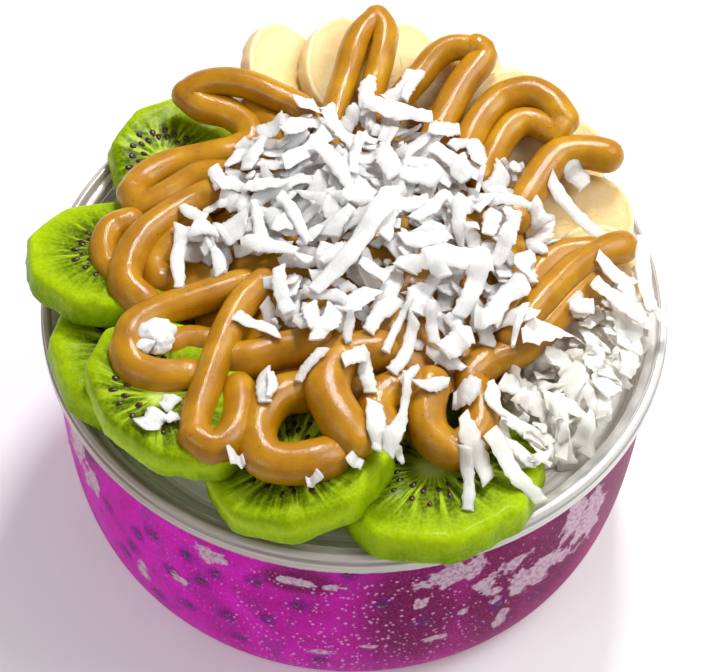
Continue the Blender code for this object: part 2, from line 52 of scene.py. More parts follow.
# Bowl
BOWL_HEIGHT = 70.0
RIM_RADIUS = 76.0
WALL_RADIUS, BASE_RADIUS = 74.2, 57.5
WALL_THICKNESS = 0.8
WALL_TOP_DEPTH = 7.5
CORNER_POWER, CORNER_FULLNESS = 4.0, 0.3  # how late and how sharply the wall turns in to the base
BASE_RINGS = (12, 25, 38, 50)
BOWL_SIDES, WALL_STEPS = 192, 44
RIM_DEPTH = 4.5  # above this depth the bowl has the rim's material
RIM_ANGLE = 50  # a crease sharper than this stays crisp
# The rim's section, as radius and height above the rim: up its inside, over it and down its skirt,
# then back along its underside
RIM = (
    (71.0, -4.4), (71.0, -2.5), (71.15, -1.95), (71.5, -1.72), (72.7, -1.6), (73.1, -1.4), (73.3, -0.9),
    (73.5, -0.35), (73.95, -0.05), (74.5, 0.0), (75.1, -0.12), (75.45, -0.45), (75.55, -0.95),
    (75.4, -1.35), (75.45, -1.6), (75.75, -1.75), (75.95, -2.05), (76.0, -2.5), (76.0, -3.6),
    (75.9, -3.8), (76.0, -4.0), (76.0, -4.8), (75.85, -5.0), (75.4, -5.0), (75.25, -4.8), (75.25, -2.8),
    (75.0, -2.2), (74.75, -1.7), (74.6, -1.1), (74.2, -0.9), (74.1, -1.6), (73.7, -2.2), (72.9, -2.4),
    (72.0, -2.5), (71.8, -2.9), (71.8, -4.2),
)

# Smoothie
SMOOTHIE_FLOOR = 0.6
LEVEL_AT_WALL, LEVEL = -7.9, -7.5  # above the rim
EDGE_FROM, EDGE_TO = 66.0, 72.0  # reach over which it runs down to its level at the wall
BANK_HEIGHT = 7.0
BANK_FROM, BANK_FULL, BANK_LAST, BANK_TO = 0.0, 70.0, 108.0, 124.0  # bearings
MOUND_HEIGHT = 17.5
MOUND_FOOT, MOUND_TOP = 35.0, 20.0  # reach
REFLECTION_FROM, REFLECTION_TO = 54.0, 62.0  # reach over which its top turns to a pale painted reflection of the plastic wall
REACH_INTO_WALL = 0.25
SMOOTHIE_SIDES, SMOOTHIE_STEPS = 300, 60
FLOOR_RINGS, TOP_RINGS = (15, 30, 45), (*np.arange(3, 69, 2.6), 70.5, 72)
TOP_RELIEF, TOP_WAVES = 0.35, 4.0
# Marks on its side: bearing, height above the base, half width and half height
FROST_MARKS = (
    (208, 50, 6, 9), (214, 45, 3, 6), (245, 55.5, 4, 3), (228, 26, 2, 4), (238, 36, 3, 2),
    (262, 55, 5, 1.6), (268, 54, 4, 1.2), (290, 56, 7, 5), (285, 53.5, 3, 2), (309, 38, 11, 6),
    (317, 52, 4, 9), (302, 24, 2.6, 4), (322, 44, 6, 11), (297, 46, 3, 3), (303, 50, 4, 2.5),
    (293, 36, 1.6, 2), (284, 45, 2, 2.4), (288, 26, 2.4, 1.4), (299, 41, 3, 2), (266, 22, 4, 1.2),
    (275, 26, 3, 1), (30, 40, 6, 8), (60, 22, 5, 3), (95, 48, 7, 5), (140, 30, 6, 7), (165, 50, 5, 4),
    (120, 18, 8, 3),
)
WINE_MARKS = (
    (316, 45, 16, 30), (300, 40, 10, 28), (262, 55, 8, 5), (283, 40, 12, 22), (212, 57, 6, 5),
    (342, 42, 18, 34), (50, 40, 25, 30), (150, 40, 18, 25),
)
# Seeds behind the wall: bearing and height above the base, with dark halos of this half size
SEED_MARKS = (
    (219, 42.5), (223, 28), (232, 49), (239, 25), (248, 30), (262, 45), (236, 38), (246, 48), (240, 50),
    (250, 20), (271, 60), (266, 17), (228, 44), (300, 33), (285, 36), (310, 26), (20, 30), (45, 48),
    (75, 35), (100, 25), (130, 46), (155, 22), (180, 40), (195, 30), (85, 54), (226, 35), (243, 41),
    (256, 35), (254, 51), (231, 19), (277, 47),
)
HALO = (3.0, 3.4)
# Where its specks are: middle bearing, spread in degrees, most, and the height they stay under
SPECKS = ((275, 42, 1.0, 58), (80, 60, 0.5, math.inf))

# Fruit slices. Each has its place (bearing, reach, height of the underside, tilt up outwards and tilt
# up towards the larger bearing), its radius, its length along the rim over its width and, where the
# pith is off the middle, how far outwards and along the rim, as shares of the radius. All slices of a
# fruit have its number and depth of lobes, its taper, rounded edges and relief; seed starts its draws.
Fruit = namedtuple("Fruit", "name thickness lobes lobe_depth taper top_edge low_edge relief seed slices")
KIWI = Fruit("kiwi", 8.0, 9, 0.05, 0.03, 2.0, 1.2, 0.14, 39, (
    ((139.5, 61.5, -2.7, 14, 0), 18.0, 1.08, 0.07, 0.26),
    ((182, 59, 5.3, 3, 10), 20.5, 1.0, -0.06, 0.0),
    ((205, 56, -2.8, 10, 0), 23.0, 1.12),
    ((227, 58.5, 9.5, 0, 1), 20.6, 1.4, 0.22, 0.0),
    ((259, 55.5, 3.6, 3, 12), 22, 1.0, 0.14, 0.0),
    ((290, 58, -2.2, 10, 0), 24.6, 1.14),
))
BANANA = Fruit("banana", 5.0, 3, 0.03, 0.0, 0.7, 0.6, 0.1, 69, (
    ((109, 64, 7.3, 22, 27), 14.2, 0.8),
    ((95.5, 65, 7.1, 22, 27), 13.8, 0.85),
    ((83, 65, 6.9, 22, 27), 13.4, 0.85),
    ((69, 65, 6.7, 22, 27), 13.6, 0.85),
    ((55, 64, 5.2, 21, 27), 13.6, 0.85),
    ((40, 62, 2.8, 18, 27), 13.6, 0.85),
    ((23, 59.5, 0.4, 14, 22), 13.2, 0.9),
    ((7, 59, 0.0, 10, 20), 12.6, 1.0),
))
SLICE_SIDES = 120
ROUGH_SIZE, BROAD_SIZE = 2.4, 7.0  # of the unevenness all over a slice
SIDE_ROUGH, SIDE_BROAD = 0.28, 0.45
SEEDS_IN_KIWI = 34
SEED_RINGS = (0.47, 0.34)  # shares of the radius

# Nut butter: a pool in the middle, and ropes that run out of it in loops
POOL_CENTRE, POOL_RADII = (0.0, -1.0), (41.0, 44.0)
POOL_BOTTOM, POOL_EDGE, POOL_TOP = 3.0, 12.0, 20.8
POOL_RELIEF, POOL_WAVES = 0.8, 6.0
POOL_SIDES, POOL_RINGS = 72, 25
ROPE_STEP, ROPE_SIDES = 1.6, 26
ROPE_ANGLE = 38
# A rope's swelling and the length of its waves, and ridges round it: depth, number, shift from rope to
# rope, and the length over which they turn
ROPE_SWELL, ROPE_SWELL_LENGTH = 0.06, 9
ROPE_RIDGES = ((0.1, 3, 1, 20), (0.05, 7, 2, 30))
# How a rope's end rounds off: steps past it and sizes, as shares of its radius
ROPE_END = ((0.95, 0.25), (0.85, 0.5), (0.65, 0.75), (0.35, 0.93))
# Each leg of rope is its radius and its route
ROPES = (
    (3.4, ((104, 35, 15.5), (98, 46, 17.5), (95, 54, 18.5), (93, 61, 20.5), (91, 67, 21.5),
        (88, 72, 22))),
    (3.4, ((88, 72, 22), (86, 68, 21.5), (86, 61, 20.5), (87, 54, 18.5), (88, 46, 17.5),
        (89, 35, 15.5))),
    (3.5, ((85, 37, 15), (79, 50, 17.5), (76, 57, 18.5), (74, 63, 20), (71, 67, 21), (66, 69, 21.5))),
    (3.9, ((66, 69, 21.5), (64, 68, 20.5), (65, 59, 19), (65, 51, 17.5), (64, 42, 16.5), (62, 34, 15))),
    (4.1, ((48, 36, 16), (54, 45, 16), (56, 54, 16.5), (55, 61, 17.5), (51, 66, 18.5), (46, 67, 18.5),
        (41, 66, 17.5))),
    (3.7, ((41, 66, 17.5), (40, 62, 16.5), (45, 61, 16), (48, 58, 16), (48, 53, 15.5), (45, 46, 15),
        (40, 39, 15))),
    (4.4, ((20, 40, 14), (27, 46, 14), (32, 53, 15), (34, 59, 16), (32, 65, 16), (29, 69, 16))),
    (3.9, ((5, 56, 13), (4, 49, 13), (358, 44, 13), (347, 41, 13), (336, 39, 13))),
    (3.9, ((7, 64, 12), (5, 59, 13), (359, 52, 14), (350, 47, 14.5), (340, 44, 14.5), (328, 43, 14))),
    (4.1, ((357, 55, 10.5), (348, 50, 11), (337, 47, 11), (327, 45, 11.5), (317, 42, 12))),
    (3.7, ((105, 35, 15), (109, 45, 17.5), (115, 51, 18.5), (120, 57, 19), (125, 62, 18.5),
        (129, 65, 17), (132, 66, 15))),
    (4.0, ((132, 66, 15), (131, 61, 14), (127, 56, 13.5), (125, 50, 13), (128, 45, 13),
        (136, 46, 12.5))),
    (4.1, ((136, 46, 12.5), (142, 50, 11.5), (149, 55, 11), (156, 58, 11), (162, 58, 12))),
    (4.0, ((162, 58, 12), (166, 54, 13), (162, 50, 13.5), (156, 47, 14), (150, 44, 15), (146, 39, 16))),
    (3.9, ((172, 55, 13.5), (175, 59, 13.5), (180, 60, 13.5), (185, 59, 13.5), (190, 56, 13))),
    (4.3, ((156, 38, 16.5), (163, 42, 16), (172, 47, 16), (179, 51, 16), (187, 54, 16), (194, 55, 16),
        (200, 52, 15))),
    (4.1, ((170, 39, 14), (179, 44, 14), (186, 48, 13), (192, 47, 13))),
    (3.9, ((206, 29, 17.5), (206, 35, 17.5), (206, 42, 17.5), (206, 50, 17.5), (208, 57, 17.5),
        (213, 61, 17.5))),
    (4.3, ((213, 61, 17.5), (218, 62, 17), (223, 59, 17), (227, 54, 17))),
    (3.9, ((221, 44, 15), (217, 47, 15), (216, 51, 15))),
    (3.7, ((211, 25, 18.5), (218, 33, 19.5), (224, 40, 19.5), (229, 47, 19), (233, 54, 18.5),
        (236, 61, 18), (239, 66, 17.5))),
    (4.1, ((239, 66, 17.5), (243, 66, 17), (245, 61, 17), (243, 54, 16.5), (239, 49, 16))),
    (4.4, ((230, 44, 16), (235, 41, 16.5), (240, 36, 16.5), (248, 32, 16.5), (254, 29, 16.5))),
    (4.8, ((256, 42, 15), (250, 46, 16), (248, 52, 16), (249, 58, 16), (253, 63, 16), (258, 63, 16),
        (263, 61, 16), (266, 59, 15.5))),
    (5.2, ((281, 31, 17), (269, 32, 17.5), (263, 37, 18.5), (263, 44, 19), (267, 50, 18.5),
        (271, 55, 17.5))),
    (4.3, ((289, 40, 15), (281, 41, 15), (277, 46, 15), (279, 51, 14))),
    (4.5, ((296, 41, 14), (291, 47, 13.5), (290, 53, 12.5), (293, 58, 11.5))),
    (4.5, ((118, 38, 13), (119, 46, 13), (121, 54, 12))),
    (4.3, ((293, 58, 11.5), (298, 57, 11), (303, 54, 11), (307, 48, 11.5), (309, 43, 12),
        (317, 42, 12))),
)

# Coconut: packed cores under loose shreds. A core is the place and half size of its outline, how
# many rings it has, heights of its lowest ring, top and floor above the rim, how boxy it is, and the
# height, size and seed of its lumps. The heap's outline is in X and Y, and the pile's in bearing and
# reach.
Core = namedtuple("Core", "middle half rings foot top floor power lumps")
HEAP_CORE = Core((-2.0, 13.0), (22.0, 20.0), 30, 15.0, 22.5, 14.0, 2, (0.9, 2.6, 4.0))
PILE_CORE = Core((334.0, 54.0), (26.0, 14.5), 26, -6.1, 4.0, -8.6, 3, (1.1, 2.0, 6.0))
CORE_SIDES = 90
COCONUT_ANGLE = 40
STATIONS = 15  # rings along a shred
# A shred's section: shares of its half width and of its thickness
SECTION_ACROSS = np.array([1, 0.6, 0, -0.6, -1, -0.6, 0, 0.6])
SECTION_UP = np.array([0.45, 1.0, 1.0, 1.0, 0.45, 0.0, 0.0, 0.0])
STEEPEST, STEEPEST_IN_PILE = 0.7, 2.0  # slopes
LIMPNESS, MOST_SAG = 0.26, 6.0  # how far a shred sinks into the gaps under it
BROAD = 5.5  # a laid shred this wide is thicker
REACH_OF_STREWN = 70.6
LOWEST = -12.0  # a shred that would rest lower has missed the bowl
HEAP_EDGE_TOP, HEAP_RISE = 16.0, 10.8  # highest that strewn shreds may rest, above the rim
HEAP_MIDDLE, HEAP_REACH = (0.0, 6.0), 46.0
PILE_TOP, PILE_LAID_TOP = 9.5, 10.0
# Zones of strewn shreds: count, middle, half widths, range of length over width, range of widths
HEAP_ZONES = (
    (300, (-4, 14), (29, 26), (1.3, 3.4), (1.8, 4.4)),
    (170, (14, -12), (28, 25), (1.3, 3.8), (1.8, 4.4)),
    (45, (-30, 8), (13, 14), (1.3, 3.0), (1.8, 4.4)),
    (70, (33, 10), (13, 22), (1.3, 3.8), (1.8, 4.4)),
    (240, (-7, 18), (25, 21), (1.0, 1.9), (1.6, 4.0)),
    (90, (-8, -18), (17, 9), (1.2, 3.0), (1.8, 4.2)),
    (90, (8, -2), (38, 36), (1.0, 1.7), (0.7, 1.5)),
)
PILE_ZONES = (
    (220, (52, -20), (19, 21), (1.3, 3.4), (1.8, 4.4)),
    (200, (42, -38), (18, 17), (1.3, 3.4), (1.8, 4.4)),
    (80, (39, -13), (8, 8), (1.2, 2.6), (1.8, 4.0)),
    (140, (35, -27), (7, 9), (1.0, 1.8), (1.4, 3.0)),
    (60, (43, 8), (6, 6), (1.0, 1.8), (1.4, 3.0)),
    (70, (62, -5), (8, 9), (1.1, 2.0), (1.6, 3.6)),
    (90, (61, -16), (8, 9), (1.1, 2.0), (1.6, 3.6)),
    (90, (57, -27), (8, 9), (1.1, 2.0), (1.6, 3.6)),
    (90, (51, -36), (8, 9), (1.1, 2.0), (1.6, 3.6)),
    (80, (44, -45), (8, 8), (1.1, 2.0), (1.6, 3.6)),
)
# Shreds laid one by one: both ends and width
HEAP_LAID = (
    (-27, -27, -17, -29, 3.4), (-20, -39, -19, -49, 2.7), (16, 32, 24, 36, 3.4), (-19, 27, -9, 37, 4.3),
    (-25, 29, -19, 31, 4.8), (-27, 18, -24, 27, 3.1), (-32, 20, -29, 26, 2.4), (-35, 20, -33, 13, 3.6),
    (-37, 8, -31, 8, 3.1), (-34, 12, -27, 14, 3.8), (-16, 39, -12, 41, 5.2), (-10, 40, -7, 42, 2.9),
    (22, 29, 26, 32, 3.7), (17, 27, 29, 20, 3.7), (23, 22, 25, 17, 3.5), (13, 2, 21, 11, 2.9),
    (0, 29, -2, 15, 2.4), (9, 15, 19, 16, 4.4), (-18, 18, -8, 30, 5.1), (-9, 37, -2, 22, 2.8),
    (-11, 23, -2, 9, 3.6), (-14, 10, -8, 3, 2.4), (-4, 6, 3, 7, 3.7), (5, 25, 8, 12, 3.9),
    (3, 1, -4, -1, 4.2), (-43, 0, -36, 1, 3.7), (-38, 1, -29, 0, 3.7), (-42, 8, -36, 3, 3.0),
    (-32, -1, -26, 2, 7.1), (-25, 7, -22, -7, 2.8), (-19, 0, -15, 0, 4.9), (-13, -7, -9, -2, 3.2),
    (-6, -5, -2, 2, 3.1), (-36, -4, -34, -3, 3.3), (-34, -5, -31, -13, 3.1), (-27, -6, -14, -9, 3.8),
    (-14, -11, -10, -10, 2.0), (-8, -12, -3, -8, 3.3), (-18, -13, -15, -24, 3.3),
    (-13, -24, -11, -30, 2.8), (10, -5, 21, -2, 3.3), (23, 8, 24, -3, 2.8), (30, 0, 33, 10, 3.6),
    (35, 13, 36, 6, 2.6), (37, 8, 35, -2, 3.1), (26, 14, 41, 11, 2.8), (29, 20, 28, 15, 1.2),
    (25, 0, 28, 3, 1.9), (28, 8, 31, 14, 2.3), (32, -7, 36, 1, 3.4), (41, 6, 44, 0, 3.2),
    (38, -8, 41, -1, 3.9), (11, -13, 20, -7, 4.4), (17, -11, 31, -6, 5.8), (13, -23, 16, -15, 4.8),
    (20, -16, 16, -11, 3.1), (3, -29, 9, -20, 3.5), (7, -34, 13, -20, 1.9), (9, -38, 14, -25, 3.1),
    (17, -21, 19, -29, 2.8), (31, -22, 39, -10, 4.9), (28, -22, 32, -22, 5.2), (24, -22, 30, -9, 3.6),
    (20, -31, 27, -26, 5.0), (39, -20, 36, -30, 1.6), (-10, -22, -9, -32, 3.9), (-8, -35, -4, -25, 3.6),
    (-12, -43, -7, -36, 2.5), (-3, -25, 4, -18, 4.9), (-1, -33, -1, -27, 2.0), (-12, -17, -2, -23, 3.8),
    (1, -11, 7, -16, 3.3), (6, -6, 9, 5, 3.3), (3, -35, 4, -44, 3.2), (-2, -39, 3, -34, 3.3),
    (1, 38, 2, 51, 3.7), (6, 44, 13, 53, 3.9), (10, 44, 14, 52, 2.4), (0, 40, 17, 36, 5.6),
    (28, 31, 28, 22, 3.9), (-27, 13, -18, 10, 4.0), (-19, 8, -11, -7, 3.0), (8, 6, -10, -19, 3.9),
    (15, -36, 11, -41, 2.2), (12, -39, 11, -53, 2.0), (14, -41, 22, -39, 3.0), (23, -40, 29, -40, 5.6),
    (5, -48, 6, -60, 3.3), (11, -51, 9, -61, 3.8), (10, -59, 12, -61, 1.8), (26, -55, 27, -67, 2.7),
    (-46, -55, -41, -51, 5.2), (-42, -49, -39, -46, 3.2), (-26, -63, -23, -62, 3.4),
    (-9, -67, -6, -66, 2.3), (0, -61, 3, -62, 2.6), (-42, 2, -41, -17, 3.4), (51, 30, 55, 26, 4.8),
    (46, 24, 59, 10, 3.2), (-18, -41, -18, -48, 2.0), (-39, 0, -33, 0, 3.7), (-41, -53, -38, -52, 2.4),
)
PILE_LAID = (
    (51, -11, 54, -13, 4.7), (38, -27, 49, -20, 5.3), (50, -13, 56, -12, 3.5), (32, -21, 42, -21, 4.7),
    (45, -27, 52, -24, 5.5), (34, -34, 45, -35, 5.7), (49, -31, 55, -35, 6.7), (44, -38, 54, -40, 4.5),
    (38, -37, 48, -43, 4.4), (34, -43, 45, -48, 3.5), (55, -20, 59, -30, 5.9), (61, -7, 65, -20, 5.1),
    (57, -35, 61, -30, 4.4), (47, -38, 48, -50, 3.3), (34, -48, 41, -54, 2.8), (38, -54, 42, -54, 2.1),
    (57, 1, 65, -6, 3.4), (56, -6, 68, -15, 3.5), (68, 9, 70, -10, 3.4), (70, -9, 75, -9, 3.9),
    (63, -2, 67, -7, 3.4), (41, -30, 48, -35, 3.8), (53, -35, 58, -39, 3.2), (31, -37, 34, -46, 3.3),
    (25, -48, 31, -60, 4.3), (31, -51, 43, -62, 4.1),
)
# Lumps of coconut: middle, half widths along and across, height and turn
CHUNKS = ((-44.4, -31.0, 4.3, 4.4, 3.4, 35), (-46.8, -33.8, 2.5, 1.8, 1.6, 20))
CHUNK_CUTS, CUT_REACHES = 16, (0.6, 0.85)
CHUNK_GROWTH = 1.2  # makes up for the cuts
CHUNK_RELIEF, CHUNK_WAVES = 0.14, 1.5

# Studio, in metres: each light's place, size and power
LIGHTS = {
    "key": ((0.08, 0.32, 0.6), 0.12, 3.4),
    "fill": ((0.42, 0.02, 0.58), 0.35, 2.6),
    "front": ((-0.42, -0.38, 0.5), 0.3, 0.7),
}
LIGHT_AIM = (0, 0, 0.06)
SKY = 0.32
STUDIO_HALF = 3000

# Camera, whose focal length is in pixels of the photograph
PHOTO_WIDTH = 702
CAMERA_DISTANCE = 7 * RIM_RADIUS
CAMERA_PITCH = 0.9002
CAMERA_FOCAL = 2195.15
CAMERA_AIM = (-0.001195, -0.019855)
CAMERA_ROLL = 0.0409


# ---- small tools

def srgb(colour):
    """A colour as it looks on a screen, 0 to 255, as Blender wants it."""
    shares = [value / 255 for value in colour]
    return (*[share / 12.92 if share <= 0.04045 else ((share + 0.055) / 1.055) ** 2.4
              for share in shares], 1.0)


def place(bearing, reach, height):
    turn = math.radians(bearing)
    return Vector((reach * math.cos(turn), reach * math.sin(turn), BOWL_HEIGHT + height))


def turn_from(bearing, bearings):
    """Degrees from a bearing to others, -180 to 180."""
    return (bearings - bearing + 180) % 360 - 180


def smooth_step(low, high, value):
    share = np.clip((value - low) / (high - low), 0.0, 1.0)
    return share * share * (3.0 - 2.0 * share)


def waves(points, size, seed=0.0, octaves=2):
    """Smooth noise, about -1 to 1, at each point; size is the width of its bumps."""
    shift = Vector((seed, 1.7 * seed, -seed))
    return np.array([noise.fractal(Vector(point) / size + shift, 1.0, 2.0, octaves) for point in points])


def full_turn(steps):
    return np.linspace(0, 2 * math.pi, steps, endpoint=False)


def ring(x, y, z):
    return np.stack(np.broadcast_arrays(x, y, z), axis=1)


def capped(rings, first, last, inside_out=False):
    """Points and faces of a stack of rings, closed at both ends by a point."""
    sides, tail = len(rings[0]), (len(rings) - 1) * len(rings[0])
    points = np.concatenate(rings + [np.array([first, last])])
    start, end = len(points) - 2, len(points) - 1
    pairs = [(side, (side + 1) % sides) for side in range(sides)]
    faces = [[low + a, low + b, low + sides + b, low + sides + a]
             for low in range(0, tail, sides) for a, b in pairs]
    faces += [[start, b, a] for a, b in pairs] + [[end, tail + a, tail + b] for a, b in pairs]
    return points, [face[::-1] for face in faces] if inside_out else faces


def lump(radii, rings=6, sides=10):
    """Points and faces of a small ellipsoid about the origin."""
    turns = full_turn(sides)
    layers = [ring(np.cos(turns) * math.sin(tilt), np.sin(turns) * math.sin(tilt), -math.cos(tilt))
              * radii for tilt in np.linspace(0, math.pi, rings + 1)[1:-1]]
    return capped(layers, (0, 0, -radii[2]), (0, 0, radii[2]))


def moved(points, matrix):
    return np.asarray(points) @ np.array(matrix.to_3x3()).T + np.array(matrix.translation)


def joined(bodies):
    """Points and faces of many small bodies as one."""
    faces, start = [], 0
    for points, body_faces, *_ in bodies:
        faces += [[start + index for index in face] for face in body_faces]
        start += len(points)
    return np.concatenate([body[0] for body in bodies]), faces


def mesh_object(name, points, faces, material):
    """A smooth mesh object from points in millimetres."""
    mesh = bpy.data.meshes.new(name)
    mesh.from_pydata((np.asarray(points) * MM).tolist(), [], faces)
    mesh.update()
    mesh.shade_smooth()
    mesh.materials.append(material)
    thing = bpy.data.objects.new(name, mesh)
    bpy.context.scene.collection.objects.link(thing)
    return thing


def keep_values(thing, **kept):
    """Stores values or vectors for each point, for its material to read."""
    for name, values in kept.items():
        values = np.asarray(values, np.float32)
        form, key = ("FLOAT", "value") if values.ndim == 1 else ("FLOAT_VECTOR", "vector")
        attribute = thing.data.attributes.new(name, form, "POINT")
        attribute.data.foreach_set(key, values.ravel())


def crisp(thing, degrees):
    """Keeps the creases sharper than an angle."""
    thing.data.set_sharp_from_angle(angle=math.radians(degrees))


def dressed(thing, slot, *nodes):
    """The piece rides with the bowl and stands for the given nodes; the slot is not used."""
    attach(thing, "root")
    if nodes:
        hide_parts(*nodes)
    return thing


# ---- materials

def fill(tree, node, inputs):
    """Links values to a node's inputs, and sets the rest."""
    for key, value in inputs.items():
        if isinstance(value, Value):
            tree.links.new(value.socket, node.inputs[key])
        else:
            node.inputs[key].default_value = value


class Value:
    """A number, vector or colour that varies over a surface, put out by a node."""

    def __init__(self, tree, kind, inputs, output=0, **settings):
        self.tree, self.node = tree, tree.nodes.new("ShaderNode" + kind)
        for key, value in settings.items():
            setattr(self.node, key, value)
        fill(tree, self.node, inputs)
        self.socket = self.node.outputs[output]

    def math(self, operation, value):
        return Value(self.tree, "Math", {0: self, 1: value}, operation=operation)

    def __add__(self, value):
        return self.math("ADD", value)

    def __sub__(self, value):
        return self.math("SUBTRACT", value)

    def __mul__(self, value):
        return self.math("MULTIPLY", value)

    def vector(self, operation, value=(0, 0, 0), output=0):
        return Value(self.tree, "VectorMath", {0: self, 1: value}, output, operation=operation)

    def scaled(self, x, y, z):
        return self.vector("MULTIPLY", (x, y, z))

    def reach(self):
        """Its distance from the Z axis."""
        return self.scaled(1, 1, 0).vector("LENGTH", output=1)

    def heading(self):
        """Its direction from the Z axis."""
        return self.scaled(1, 1, 0).vector("NORMALIZE")

    def part(self, axis):
        return Value(self.tree, "SeparateXYZ", {0: self}, axis)

    def step(self, low, high, most=1.0):
        """A smooth step from 0 to the most as the value goes from low to high."""
        return Value(self.tree, "MapRange", {"Value": self, "From Min": low, "From Max": high,
                                             "To Max": most}, interpolation_type="SMOOTHSTEP")

    def noise(self, scale, detail=2.0, rough=0.5, distortion=0.0):
        """Smooth noise, 0 to 1, at this place."""
        return Value(self.tree, "TexNoise", {"Vector": self, "Scale": scale, "Detail": detail,
                                             "Roughness": rough, "Distortion": distortion})

    def cells(self, scale):
        """How far this place is from the nearest of many scattered points."""
        return Value(self.tree, "TexVoronoi", {"Vector": self, "Scale": scale})


class Shader:
    """A material whose colour is laid on in coats."""

    def __init__(self, name, **settings):
        self.material = bpy.data.materials.new(name)
        self.material.use_nodes = True
        self.tree = self.material.node_tree
        self.surface = self.tree.nodes["Principled BSDF"]
        self.own = Value(self.tree, "TexCoord", {}, "Object")
        self.colour = None
        fill(self.tree, self.surface, {key.replace("_", " "): value for key, value in settings.items()})

    def stored(self, name, output="Fac"):
        """What keep_values stored on the mesh."""
        return Value(self.tree, "Attribute", {}, output, attribute_name=name)

    def vector(self, x, y, z):
        return Value(self.tree, "CombineXYZ", {0: x, 1: y, 2: z})

    def mixed(self, share, *colours):
        """From one colour to another as the share goes from 0 to 1."""
        low, high = (srgb(colour) if isinstance(colour, tuple) else colour for colour in colours)
        return Value(self.tree, "Mix", {0: share, 6: low, 7: high}, 2, data_type="RGBA")

    def ramp(self, value, *stops):
        """Starts the colour with colours at positions along a value."""
        self.colour = Value(self.tree, "ValToRGB", {0: value})
        elements = self.colour.node.color_ramp.elements
        while len(elements) < len(stops):
            elements.new(0.5)
        for element, (position, *colour) in zip(elements, stops):
            element.position = position
            element.color = srgb(colour)

    def paint(self, colour, share):
        """Lays a colour over the colour so far."""
        self.colour = self.mixed(share, self.colour, colour)

    def finish(self, height=None, distance=0.0, strength=1.0, normals=("Normal",)):
        """The material, bumped by a height whose full range is the distance in millimetres."""
        if height:
            bump = Value(self.tree, "Bump", {"Height": height, "Distance": distance * MM,
                                             "Strength": strength})
            fill(self.tree, self.surface, dict.fromkeys(normals, bump))
        if self.colour:
            fill(self.tree, self.surface, {"Base Color": self.colour})
        return self.material


def wall_material():
    """Thin clear plastic: most light goes straight through it."""
    shader = Shader("clear_wall", Base_Color=(0.97, 0.95, 0.97, 1), Roughness=0.06, IOR=1.3,
                    Transmission_Weight=1.0, Alpha=0.1)
    return shader.finish(shader.own.noise(45), 0.05, 0.4)


def rim_material():
    """The stepped rim looks milky where its folds lie over each other."""
    shader = Shader("clear_rim", Roughness=0.2, IOR=1.45, Transmission_Weight=0.35,
                    Coat_Weight=0.3, Coat_Roughness=0.08)
    own = shader.own
    # Painted light: the rim is painted darker on the left and lighter on the right, where more light
    # falls on it.
    painted_shading_to_right = own.part(0).step(-0.06, 0.07)
    shader.colour = shader.mixed(painted_shading_to_right, (190, 172, 156), (244, 240, 237))
    streaks = own.scaled(0.3, 0.3, 8.0).noise(160, 3, 0.6)
    shader.paint((250, 248, 245), streaks.step(0.3, 0.7, 0.35))
    lines = shader.vector(own.reach(), own.part(2), 0).noise(900, 2, 0.6)
    shader.paint((128, 118, 108), lines.step(0.52, 0.62, 0.5))
    return shader.finish(streaks, 0.08, 0.4)


def smoothie_material():
    shader = Shader("smoothie", Roughness=0.45, Specular_IOR_Level=0.03, Subsurface_Weight=0.1,
                    Subsurface_Scale=0.002, Subsurface_Radius=(1.0, 0.2, 0.6))
    own = shader.own
    tone = own.noise(55, 3, 0.55, 0.6)
    ragged = own.noise(420, 5, 0.7, 0.6)
    shader.ramp(tone, (0.32, 186, 8, 146), (0.46, 208, 14, 176), (0.60, 218, 26, 190),
                (0.74, 198, 42, 182))
    wisps = own.scaled(1.0, 1.0, 0.4).noise(150, 4, 0.6, 1.2)
    shader.paint((146, 40, 146), wisps.step(0.5, 0.66, 0.6))
    # Painted shade: the smoothie's side is painted darker towards the right, which lies in shade.
    painted_shading_to_right = own.part(0).step(-0.03, 0.06)
    shader.paint((156, 12, 100), painted_shading_to_right)
    wine = shader.stored("wine") + tone * 0.6
    shader.paint((112, 12, 66), wine.step(0.55, 1.0, 0.9))
    halo = shader.stored("halo") + ragged * 0.7
    shader.paint((96, 20, 112), halo.step(0.75, 1.15, 0.7))
    frost = shader.stored("frost") + own.noise(230, 4, 0.6) * 1.6
    grains = own.noise(900, 3, 0.7).step(0.36, 0.56)
    shader.paint(shader.mixed(grains, (176, 112, 160), (208, 190, 196)), frost.step(1.28, 1.34))
    speck_size = shader.stored("specks") * 0.46 * own.noise(330, 1)
    specks = own.cells(620).math("LESS_THAN", speck_size)
    shader.paint((232, 176, 220), specks * 0.8)
    dust = own.cells(1250).math("LESS_THAN", 0.19)
    shader.paint((226, 120, 210), dust * 0.4)
    shader.paint((214, 70, 196), own.noise(1400, 3, 0.7).step(0.5, 0.75, 0.4))
    # Painted reflection: near the wall the top is painted pale, with light and dark concentric lines,
    # standing in for the plastic inner wall's reflections in the shaded gap under the slices.
    foam = shader.stored("foam") + ragged * 0.6
    reflected_ridge_lines = shader.vector(own.reach(), 0, 0).noise(700, 2, 0.6).step(0.35, 0.65)
    shader.paint(shader.mixed(reflected_ridge_lines, (214, 204, 196), (255, 252, 247)), foam.step(0.62, 0.8))
    return shader.finish(ragged, 0.5, 0.25)


def seed_material(name, colour):
    shader = Shader(name, Roughness=0.3)
    shader.ramp(shader.own.noise(900), (0.3, *[0.6 * part for part in colour]), (0.7, *colour))
    return shader.finish()


